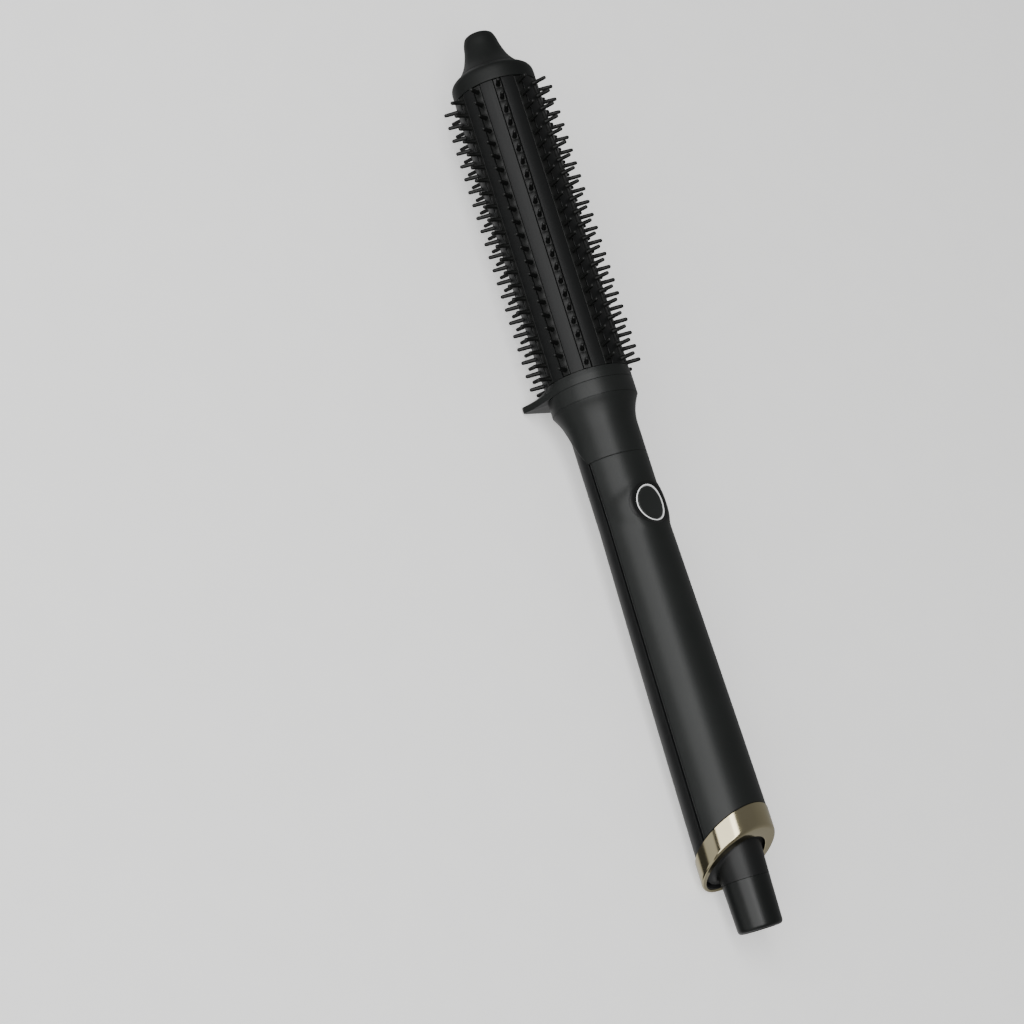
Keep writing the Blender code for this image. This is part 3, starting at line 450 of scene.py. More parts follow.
@dataclass
class Piece:
    """A finished piece: a skin, the node that it stands for, and a finish where its slot has several."""

    name: str
    skin: Skin
    node: str
    sharp_degrees: float = 32.0
    finish: str = ""

    def make(self) -> bpy.types.Object:
        """Build the object in the frame, dress it and let it ride where its node rides."""
        mesh = bpy.data.meshes.new(self.name)
        mesh.from_pydata(AXES.place(self.skin.points).tolist(), [], self.skin.faces)
        work = bmesh.new()
        work.from_mesh(mesh)
        bmesh.ops.recalc_face_normals(work, faces=work.faces)
        work.to_mesh(mesh)
        work.free()
        mesh.shade_smooth()
        mesh.set_sharp_from_angle(angle=math.radians(self.sharp_degrees))
        item = add_object(self.name, mesh)
        slot = SLOTS[self.node]
        mesh.materials.append(RACK.get(self.finish or slot))
        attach(item, BODIES[self.node])
        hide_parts(self.node)
        log.info("%s: %d points for %s", self.name, len(mesh.vertices), self.node)
        return item


@dataclass(frozen=True)
class Stations:
    """Heights along the brush's axis from the cord end, in millimetres."""

    swivel_top: float = 17.9
    ring_low: float = 25.1
    ring_top: float = 33.7
    seam: float = 174.3
    band_low: float = 196.5
    collar_low: float = 202.3
    barrel_low: float = 206.8
    barrel_top: float = 323.1


@dataclass(frozen=True)
class HandleForm:
    """Outer form of handle and neck: a waist, a parabolic flare above it and a slow swell below."""

    at: Stations = Stations()
    waist: float = 12.95
    grip: float = 14.95
    collar: float = 16.2
    flare: float = 10.5
    swell_drop: float = 24.0
    bulge: float = 0.25
    wall: float = 2.0
    tongue: float = 18.0
    slant: float = math.tan(math.radians(28.3))
    slant_blend: float = 30.0

    def radius(self, height: np.ndarray) -> np.ndarray:
        """Outer radius: waist + flare share squared, or + swell share with a slight bulge."""
        flare = np.clip((height - self.at.band_low + self.flare) / self.flare, 0, None)
        start = self.at.seam - self.swell_drop
        swell = np.clip((start - height) / (start - self.at.ring_top), 0, None)
        swollen = swell * (1 + self.bulge * (1 - swell))
        return self.waist + (self.collar - self.waist) * flare ** 2 + (self.grip - self.waist) * swollen

    def slanted(self, height: np.ndarray, angle: np.ndarray,
                inset: np.ndarray) -> tuple[np.ndarray, np.ndarray]:
        """Radius and level of skin points whose lowest row lies on the end ring's slanted plane.

        level = height + share * slant * radius * cos(angle), and the share fades out up the handle.
        """
        share = np.clip(1 - (height - self.at.ring_top) / self.slant_blend, 0, 1)
        level = height + share * self.slant * (self.radius(height) - inset) * np.cos(angle)
        radius = self.radius(level) - inset
        return radius, height + share * self.slant * radius * np.cos(angle)


FORM = HandleForm()


def polar_grid(radius: np.ndarray, angle: np.ndarray, height: np.ndarray) -> np.ndarray:
    """Points from radius, angle and height."""
    radius, angle, height = np.broadcast_arrays(radius, angle, height)
    return np.stack((radius * np.cos(angle), radius * np.sin(angle), height), axis=-1)


@dataclass
class Barrel:
    """The grooved barrel with its bristle strips."""

    at: Stations = Stations()
    radius: float = 16.0
    bore: float = 13.7
    strips: int = 12
    first_turn: float = math.radians(-10.3)
    groove_width: float = 3.1
    groove_depth: float = 1.5
    edge_round: float = 0.3
    recess: float = 0.2
    strip_gap: float = 0.13
    floor_span: tuple[float, float] = (0.1, 0.7)
    foot_round: float = 0.1
    top_round: float = 0.25
    reach: float = 5.2
    pins: int = 22
    pin_margin: float = 2.3
    pin_sides: int = 8
    pin_rise: tuple[float, ...] = (-0.3, 0.05, 0.4, 3.0, 4.6, 4.95, 5.15, 5.25)
    pin_radius: tuple[float, ...] = (1.0, 0.96, 0.84, 0.78, 0.74, 0.64, 0.46, 0.18)
    pin_room: float = 1.25
    pad_rise: tuple[float, ...] = (-0.1, 0.06, 0.14)
    pad_chamfer: float = 0.12
    soft_angle: float = 50.0

    def shell(self) -> Skin:
        """The barrel: radius = R - depth * smooth step across each groove's wall, dropped at the ends."""
        pitch = 2 * math.pi * self.radius / self.strips
        half = self.groove_width / 2
        wall = np.linspace(-self.edge_round, self.edge_round, 7) + half
        land = np.linspace(half + 2 * self.edge_round, pitch / 2, 7)
        side = np.concatenate((np.linspace(*self.floor_span, 3) * half, wall, land))
        across = np.concatenate((-side[::-1][1:], [0.0], side))
        share = np.clip((half + self.edge_round / 2 - np.abs(across)) / self.edge_round, 0, 1)
        depth = self.groove_depth * smooth_step(share)
        middles = self.first_turn + np.arange(self.strips) * 2 * math.pi / self.strips
        angle = (middles[:, None] + across / self.radius).ravel()
        outer = np.tile(self.radius - depth, self.strips)
        length = self.at.barrel_top - self.at.barrel_low
        climb = clustered(length, self.edge_round, 24)
        drop = edge_drop(np.minimum(climb, length - climb), self.edge_round)
        skin = polar_grid(outer - drop[:, None], angle, self.at.barrel_low + climb[:, None])
        bore_heights = np.array([self.at.barrel_top, self.at.barrel_low])[:, None]
        bore = polar_grid(np.full(len(angle), self.bore), angle, bore_heights)
        return grid_skin(np.concatenate((skin, bore)), wrap_rows=True)

    def pin_heights(self) -> np.ndarray:
        """Heights of the bristles of a row."""
        low = self.at.barrel_low + self.pin_margin
        return np.linspace(low, self.at.barrel_top - self.pin_margin - GAP, self.pins)

    def strip(self) -> Skin:
        """A strip facing X: a rounded backing, a low pad between bristles, and the bristles."""
        half = self.groove_width / 2 - self.strip_gap
        floor = self.radius - self.groove_depth + GAP
        top = self.radius - self.recess
        section = rounded([(floor, -half, self.foot_round), (top, -half, self.top_round),
                           (top, half, self.top_round), (floor, half, self.foot_round)], 4)
        heights = np.array([self.at.barrel_low + GAP, self.at.barrel_top - GAP])
        backing = np.stack([np.column_stack((section, np.full(len(section), z))) for z in heights])
        skin = grid_skin(backing)
        for height in self.pin_heights():
            skin = skin.joined(self.pin(top, height))
        spacing = self.pin_heights()[1] - self.pin_heights()[0]
        for height in self.pin_heights()[:-1] + spacing / 2:
            skin = skin.joined(self.pad(top, half, height, spacing))
        return skin

    def pin(self, top: float, height: float) -> Skin:
        """A bristle: rings of eight points whose radius falls from a filleted foot to a round end."""
        rise = np.array(self.pin_rise)[:, None]
        rise = rise / rise[-1] * (self.radius + self.reach - top)
        radius = np.array(self.pin_radius)[:, None]
        t = full_turn(self.pin_sides)
        level = np.broadcast_to(top + rise, (len(rise), len(t)))
        return grid_skin(np.stack((level, radius * np.cos(t), height + radius * np.sin(t)), axis=-1))

    def pad(self, top: float, half: float, height: float, spacing: float) -> Skin:
        """A low pad between two bristles: a box with a smaller top."""
        length = spacing / 2 - self.pin_room
        grid = [
            [(top + rise, side * (half - self.top_round - inset), height + end * (length - inset))
             for side, end in ((-1, -1), (1, -1), (1, 1), (-1, 1))]
            for rise, inset in zip(self.pad_rise, (0.0, 0.0, self.pad_chamfer))
        ]
        return grid_skin(np.array(grid, float))

    def build(self) -> None:
        """Make the barrel and its twelve strips, each turned into its groove."""
        Piece("barrel", self.shell(), "barrel_shell").make()
        strip = self.strip()
        for number in range(self.strips):
            angle = self.first_turn + number * 2 * math.pi / self.strips
            c, s = math.cos(angle), math.sin(angle)
            turned = strip.points @ np.array(((c, s, 0), (-s, c, 0), (0, 0, 1)))
            skin = Skin(turned, strip.faces)
            name = f"bristles_{number + 1:02d}"
            Piece(name, skin, f"bristle_strip_{number + 1:02d}", self.soft_angle).make()


@dataclass
class CoolTip:
    """The domed end of the barrel with its waisted knob."""

    base: float = Stations().barrel_top
    spigot: float = 13.4
    spigot_length: float = 6.8
    hollow: float = 11.8
    hollow_top: float = 4.0
    knob_bore: float = 4.0
    bore_low: float = 11.0
    bore_top: float = 19.0
    crown: float = 0.8
    crease_angle: float = 24.0
    dome: tuple[tuple[float, float], ...] = (
        (15.8, 0.15), (15.95, 0.45), (16.0, 2.2), (16.0, 4.0), (15.85, 5.4), (15.4, 6.4), (14.6, 7.2),
        (13.6, 7.85), (12.4, 8.5))
    knob: tuple[tuple[float, float], ...] = (
        (12.3, 8.6), (11.75, 9.3), (11.1, 10.15), (10.3, 11.2), (9.5, 12.4), (8.8, 13.7), (8.15, 15.2),
        (7.55, 17.0), (7.0, 18.9), (6.5, 21.5), (6.15, 22.7), (5.65, 23.9), (4.9, 24.55), (3.8, 24.85),
        (2.4, 24.9), (0.8, 24.9))

    def outline(self) -> np.ndarray:
        """Spigot, dome, a crisp corner, the knob's flared foot, its waist and its round top."""
        inside = [(self.crown, self.bore_top), (self.knob_bore, self.bore_top),
                  (self.knob_bore, self.bore_low), (self.hollow, self.hollow_top),
                  (self.hollow, -self.spigot_length)]
        foot = [(self.spigot, -self.spigot_length), (self.spigot, self.dome[0][1])]
        outside = (smooth_line(self.dome, 44), smooth_line(self.knob, 64))
        return np.vstack((inside, foot, *outside)) + (0, self.base)

    def build(self) -> None:
        """Make the cool tip."""
        skin = grid_skin(lathe(self.outline()))
        # The cool tip takes the charcoal darkened by painted shade
        Piece("cool_tip_cover", skin, "cool_tip", self.crease_angle, "tip_nylon_painted_shade").make()


@dataclass
class Neck:
    """The foot collar, the neck band and the flared neck cover."""

    at: Stations = Stations()
    collar: float = FORM.collar
    inner: float = 13.0
    foot_reach: float = 22.6
    foot_half_width: float = 15.3
    foot_corner: float = 2.5
    foot_rim: float = 2.2
    foot_rise: float = 0.8
    tongue: float = FORM.tongue
    tongue_gap: float = 0.5
    edge: float = 0.12
    tongue_edge: float = 1.7
    tongue_depth: float = 0.75
    lean: float = 0.039934
    least_facing: float = 0.2
    rim_rise: tuple[float, ...] = (0.0, 0.0, 0.06, 0.15, 0.45, 1.2, 1.9, 2.15, 2.3, 2.38)
    rim_inset: tuple[float, ...] = (1.0, 0.2, 0.08, 0.02, 0.002, 0.002, 0.002, 0.03, 0.12, 0.3)
    rim_reach: float = 1.5
    barrel_step: float = 0.25
    slope_power: float = 0.8
    band_low_round: float = 0.08
    band_top_round: float = 0.06
    cover_power: float = 1.3
    back_rate: float = 3.0
    columns: int = 288

    def foot_plan(self, angle: np.ndarray, reach: np.ndarray) -> np.ndarray:
        """Plan radius of the collar and its foot.

        The plan is the hull of a circle and two rounded corners. Its radius at an angle is the least,
        over all directions, of the hull's support divided by the cosine between the two.
        """
        way = full_turn(1440)
        sideways = (self.foot_half_width - self.foot_corner) * np.abs(np.sin(way))
        facing = np.cos(angle[:, None] - way)
        seen = facing > self.least_facing
        divisor = np.maximum(facing, self.least_facing)
        plans = []
        for far in reach:
            corner = (self.foot_corner - far) * np.cos(way) + sideways + self.foot_corner
            support = np.maximum(corner, self.collar)
            plans.append(np.where(seen, support / divisor, np.inf).min(axis=1))
        return np.array(plans)

    def foot_collar(self) -> Skin:
        """The collar: rows climb the rounded rim of the plan, then its sloping top to the barrel.

        The foot reaches out further with height by the lean, so its end lies level at rest.
        """
        low = self.at.collar_low + FINE_GAP
        rim = low + self.foot_rim
        top = self.at.barrel_low - FINE_GAP
        angle = full_turn(self.columns)
        rise = np.array(self.rim_rise)
        inset = np.array(self.rim_inset)
        reach = self.foot_reach + (rise + FINE_GAP - GAP - self.foot_rim / 2) * self.lean
        plan = self.foot_plan(angle, reach)
        spare = np.clip((plan - self.collar) / self.rim_reach, 0, 1)
        upper = (rise > self.foot_rim / 2)[:, None]
        edge = inset[:, None] * np.where(upper, spare, 1.0)
        lift = self.lift(plan - edge, angle)
        rows = [polar_grid(plan - edge, angle, low + rise[:, None] + lift)]
        share = np.linspace(0, 1, 7)[1:, None]
        end = self.collar - self.barrel_step
        slope = (plan[-1] - edge[-1]) * (1 - share) + end * share
        start = rim + lift[-1]
        rows.append(polar_grid(slope, angle, start + (top - start) * share ** self.slope_power))
        inside = np.array([(self.inner, top), (self.inner, low)])
        rows.append(polar_grid(inside[:, :1], angle, inside[:, 1:]))
        return grid_skin(np.concatenate(rows), wrap_rows=True)

    def lift(self, radius: np.ndarray, angle: np.ndarray) -> np.ndarray:
        """Rise of the foot towards its end, in proportion to how far it stands out of the collar."""
        out = (-radius * np.cos(angle) - self.collar) / (self.foot_reach - self.collar)
        return self.foot_rise * np.clip(out, 0, 1)

    def band(self) -> Skin:
        """The plain band, turned from a rectangle with small roundings."""
        low, high = self.at.band_low, self.at.collar_low
        outline = rounded([(self.inner, low, 0), (self.collar, low, self.band_low_round),
                           (self.collar, high, self.band_top_round), (self.inner, high, 0)])
        return grid_skin(lathe(outline), wrap_rows=True)

    def cover(self) -> Skin:
        """The neck cover: a turned flare whose lower edge climbs round the rear shell's tongue.

        lower edge = seam + tongue * max(0, -cos angle); the outer radius drops at both edges.
        """
        angle = full_turn(self.columns)
        climb = (self.tongue + self.tongue_gap) * np.clip(-np.cos(angle), 0, None)
        low = self.at.seam + FINE_GAP / 2 + climb
        high = self.at.band_low - FINE_GAP
        share = np.linspace(0, 1, 40)[:, None]
        level = low + share ** self.cover_power * (high - low)
        back = np.clip(-self.back_rate * np.cos(angle), 0, 1)
        slope = self.tongue / FORM.waist * np.abs(np.sin(angle)) * back
        from_edge = (level - low) / np.hypot(1, slope)
        size = self.edge + (self.tongue_edge - self.edge) * back
        lower_drop = edge_drop(from_edge, size, self.edge + (self.tongue_depth - self.edge) * back)
        outer = FORM.radius(level) - lower_drop - edge_drop(high - level, self.edge)
        grid = polar_grid(outer, angle, level)
        inner = polar_grid(FORM.radius(level) - FORM.wall, angle, level)[::-1]
        return grid_skin(np.concatenate((grid, inner)), wrap_rows=True)

    def build(self) -> None:
        """Make the three pieces."""
        Piece("foot_collar_shell", self.foot_collar(), "foot_collar").make()
        Piece("neck_band_ring", self.band(), "neck_band").make()
        Piece("neck_flare", self.cover(), "neck_cover").make()


@dataclass
class Handle:
    """The front and rear half shells."""

    at: Stations = Stations()
    seam_round: float = 1.7
    seam_depth: float = 1.0
    rear_round: float = 0.12
    seam_gap: float = 0.8
    end_round: float = 0.2
    rear_inset: float = 0.6
    lip_thickness: float = 0.45
    tongue: float = FORM.tongue
    tongue_end: float = 0.9995
    tongue_rate: float = 0.8
    edge_share: float = 0.09
    end_points: int = 7

    def half_shell(self, heights: np.ndarray, half: np.ndarray, middle: float, inset: float,
                   near: np.ndarray, edge: tuple[float, float]) -> Skin:
        """A half shell: at each height an outer arc with rounded edges, and back along the inner one.

        Along the seam a thin lip of the inner wall reaches on under the groove, so no light passes.

        Args:
            heights: heights of the rows.
            half: half the angle that each row spans.
            middle: the angle that the shell faces.
            inset: how far its skin lies under the handle's form.
            near: distance of each row from the nearer end, for the end's rounding.
            edge: width and depth of the rolled edge along the seam.

        Returns:
            The closed shell.
        """
        # From one edge of the arc, at -1, to the other, at 1
        share = clustered(2.0, self.edge_share, 60, 10) - 1
        angle = middle + half[:, None] * share
        height = np.broadcast_to(heights[:, None], angle.shape)
        to_seam = half[:, None] * (1 - np.abs(share)) * FORM.waist
        drop = edge_drop(to_seam, *edge) + edge_drop(near[:, None], self.end_round)
        skin_inset = inset + drop - ButtonGroup().swell(angle, height)
        radius, level = FORM.slanted(height, angle, skin_inset)
        outer = polar_grid(radius, angle, level)
        reach = (self.seam_gap - FINE_GAP) / FORM.waist / 2
        lip = half + np.where(half < half.max(), 0.0, reach)
        turns = middle + np.column_stack((half, lip, lip[:, None] * share[::-1], -lip, -half))
        depth = np.full(turns.shape, FORM.wall)
        depth[:, :2] -= self.lip_thickness
        depth[:, -2:] -= self.lip_thickness
        radius, level = FORM.slanted(np.broadcast_to(heights[:, None], turns.shape), turns, depth)
        return grid_skin(np.concatenate((outer, polar_grid(radius, turns, level)), axis=1))

    def widest(self) -> float:
        """Half the angle of a shell where it isn't closing: a quarter turn less half the groove."""
        return math.pi / 2 - self.seam_gap / FORM.waist / 2

    def front(self) -> None:
        """The front shell, with the oval hole of the button group cut through it."""
        length = self.at.seam - FINE_GAP / 2 - self.at.ring_top - GAP
        climb = clustered(length, self.end_round, 110)
        half = np.full(len(climb), self.widest())
        near = np.minimum(climb, length - climb)
        edge = (self.seam_round, self.seam_depth)
        skin = self.half_shell(self.at.ring_top + GAP + climb, half, 0.0, 0.0, near, edge)
        shell = Piece("handle_front", skin, "front_shell").make()
        hole = ButtonGroup().hole()
        tool = add_object("hole_tool", bpy.data.meshes.new("hole_tool"))
        tool.data.from_pydata(AXES.place(hole.points).tolist(), [], hole.faces)
        modifier = shell.modifiers.new("button_hole", "BOOLEAN")
        modifier.operation = "DIFFERENCE"
        modifier.solver = "EXACT"
        modifier.object = tool
        bpy.context.view_layer.update()
        cut = bpy.data.meshes.new_from_object(shell.evaluated_get(bpy.context.evaluated_depsgraph_get()))
        shell.modifiers.clear()
        shell.data = cut
        bpy.data.objects.remove(tool)

    def rear(self) -> Skin:
        """The rear shell: straight to the seam, then its half angle closes as acos of the climb."""
        length = self.at.seam - self.at.ring_top - GAP
        straight = clustered(length, self.end_round, 90, self.end_points)[:1 - self.end_points]
        turn = np.linspace(0, math.asin(self.tongue_end), 40)[1:]
        climb = self.at.seam + self.tongue * np.sin(turn)
        heights = np.concatenate((self.at.ring_top + GAP + straight, climb))
        half = np.concatenate((np.full(len(straight), self.widest()), math.pi / 2 - turn))
        half = np.minimum(half, self.widest())
        to_tongue = (self.at.seam + self.tongue - heights) * self.tongue_rate
        near = np.minimum(heights - heights[0], to_tongue)
        edge = (self.rear_round, self.rear_round)
        return self.half_shell(heights, half, math.pi, self.rear_inset, near, edge)

    def build(self) -> None:
        """Make both shells."""
        self.front()
        Piece("handle_rear", self.rear(), "rear_shell").make()


@dataclass
class ButtonGroup:
    """The raised bezel, the light ring in it and the power button."""

    height: float = Stations().seam - 19.9
    face: float = 12.5
    half_width: float = 5.7
    half_length: float = 6.1
    crown_radius: float = 18.0
    light: float = 0.4
    ring_in: float = 0.47
    ring_out: float = 0.8
    hair: float = 0.02
    bezel_side: float = 2.8
    bezel_end: float = 1.0
    depth: float = 4.8
    travel_room: float = 0.5
    side_rise: float = 0.5
    swelling: float = 1.0
    swell_reach: float = 1.38
    cut_depth: float = 9.0
    ledge_height: float = 1.6
    bezel_proud: float = 0.03
    bezel_under: float = 0.02
    fine_round: float = 0.12
    roll_start: float = 0.1
    ring_proud: float = 0.08
    cap_depth: float = 3.0
    stem: float = 1.2
    stem_depth: float = 3.5
    soft_angle: float = 50.0
    centre_gap: float = 0.05
    dish: tuple[tuple[float, float], ...] = (
        (-4.4, -0.52), (-3.2, -0.42), (-2.0, -0.26), (-1.1, -0.12), (-0.6, -0.06))
    dish_depth: float = 0.55
    cap_edge: tuple[tuple[float, float], ...] = ((-0.25, -0.05), (0.0, -0.08), (0.14, -0.18), (0.2, -0.4))

    @property
    def seat(self) -> float:
        """Offset of the light ring's seat from the cap's outline."""
        return 2 * GAP + self.light

    @property
    def side_reach(self) -> float:
        """Half the bezel's width."""
        return self.half_width + self.seat + self.bezel_side

    @property
    def end_reach(self) -> float:
        """Half the bezel's length."""
        return self.half_length + self.seat + self.bezel_end

    @property
    def end_share(self) -> float:
        """The bezel's width at its ends as a share of that at its sides."""
        return self.bezel_end / self.bezel_side

    def ovals(self, outline: np.ndarray, end_share: float = 1.0, steps: int = 144) -> np.ndarray:
        """Oval rings from (offset, depth) points.

        y = (a + offset) cos t, z = middle + (b + offset) sin t, and the face falls to both sides along
        an arc of the crown's radius.

        Args:
            outline: offsets from the cap's outline, and depths from the face.
            end_share: how much of an offset beyond the light ring counts towards the ends.
            steps: points round each oval.

        Returns:
            A grid with a row for each outline point.
        """
        t = full_turn(steps)
        offset = outline[:, :1]
        end_offset = np.minimum(offset, self.seat) + end_share * np.maximum(offset - self.seat, 0)
        side = (self.half_width + offset) * np.cos(t)
        rise = self.height + (self.half_length + end_offset) * np.sin(t)
        level = self.face + outline[:, 1:2] - self.crown_radius + np.sqrt(self.crown_radius ** 2 - side ** 2)
        return np.stack((level, side, rise), axis=-1)

    def handle_level(self, side: np.ndarray) -> np.ndarray:
        """The handle's surface beside the button, with the soft swelling that carries the bezel.

        The sine of its angle and its radius depend on each other, and settle in a few rounds.
        """
        steepness = self.steepness()
        sine = side / FORM.waist
        for _ in range(8):
            sine = side / (FORM.waist + steepness * sine ** 2)
        return (FORM.waist + steepness * sine ** 2) * np.sqrt(1 - sine ** 2)

    def steepness(self) -> float:
        """Swelling over the squared sine of the angle; the whole swelling is reached at the oval's side."""
        return self.swelling * ((FORM.waist + self.swelling) / self.side_reach) ** 2

    def swell(self, angle: np.ndarray, height: np.ndarray) -> np.ndarray:
        """How far the handle's skin swells at an angle and height.

        The swelling is k sin^2 a within the bezel's oval, level beside it, and dies out as a smooth
        step with the distance from the oval, along the handle and round it to the shells' seam.
        """
        sine = np.sin(angle)
        rise = np.minimum(self.steepness() * sine ** 2, self.swelling)
        side = math.asin(self.side_reach / (FORM.waist + self.swelling))
        beyond = (np.abs(angle) - side) / (math.pi / 2 - side) * (self.swell_reach - 1)
        across = np.where(beyond > 0, 1 + beyond, (FORM.waist + rise) * sine / self.side_reach)
        reach = np.hypot(across, (height - self.height) / self.end_reach)
        fade = np.clip((self.swell_reach - reach) / (self.swell_reach - 1), 0, 1)
        front = np.cos(angle) > 0
        return rise * smooth_step(fade) * front

    def hole(self) -> Skin:
        """The tool that cuts the front shell."""
        offset = self.seat + self.hair + self.bezel_side
        tool = self.ovals(np.array([(offset, -self.cut_depth), (offset, self.cut_depth)]), self.end_share)
        tool[:, :, 0] = tool[:, :1, 0]
        return grid_skin(tool)

    def frame_skin(self) -> Skin:
        """The bezel: its top rolls from the button's crown over to the handle's own skin.

        level = face * (1 - w) + handle * w, where w is a smooth step over the outer part of its width.
        """
        outer = self.seat + self.bezel_side
        ledge = self.ledge_height - self.depth
        share = np.linspace(1, 0, 22)
        start = self.ring_out + FINE_GAP
        top = np.column_stack((start + share * (outer - start), np.full(len(share), self.bezel_proud)))
        inside = rounded([(start, -self.bezel_under, self.fine_round), (self.seat, ledge, 0),
                          (self.travel_room, ledge, 0), (self.travel_room, -self.depth, 0),
                          (outer, -self.depth, 0)], 4)[2:]
        grid = self.ovals(np.vstack((top, inside)), self.end_share)
        blend = smooth_step(np.clip((share[:, None] - self.roll_start) / (1 - self.roll_start), 0, 1))
        side = grid[:len(share), :, 1]
        raised = grid[:len(share), :, 0] + self.side_rise * (side / self.half_width) ** 2 * share[:, None]
        grid[:len(share), :, 0] = raised * (1 - blend) + self.handle_level(side) * blend
        return grid_skin(grid, wrap_rows=True)

    def light_skin(self) -> Skin:
        """The light ring: a narrow oval with a rounded crown, a touch proud of the bezel."""
        foot = self.ledge_height - self.depth + GAP
        low, high = self.ring_in, self.ring_out
        outline = rounded([(low, foot, 0), (high, foot, 0), (high, self.ring_proud, self.fine_round),
                           (low, self.ring_proud, self.fine_round)])
        return grid_skin(self.ovals(outline), wrap_rows=True)

    def cap_skin(self) -> Skin:
        """The button: a shallow dish inside a rounded edge, on a stem that reaches the switch."""
        centre = (self.centre_gap - self.half_width, -self.dish_depth)
        skirt = (self.cap_edge[-1][0], -self.cap_depth)
        face = self.ovals(np.array((centre, *self.dish, *self.cap_edge, skirt)))
        face[-1, :, 0] = self.face - self.cap_depth
        t = full_turn(face.shape[1])
        round_stem = (self.stem * np.cos(t), self.height + self.stem * np.sin(t))
        stem = np.stack([
            np.stack((np.full(len(t), self.face - depth), *round_stem), axis=-1)
            for depth in (self.cap_depth, self.stem_depth)
        ])
        return grid_skin(np.concatenate((face, stem)))

    def build(self) -> None:
        """Make the three pieces."""
        Piece("button_frame", self.frame_skin(), "button_bezel").make()
        Piece("button_light", self.light_skin(), "light_ring").make()
        Piece("button_cap", self.cap_skin(), "power_button", self.soft_angle, "button_abs").make()


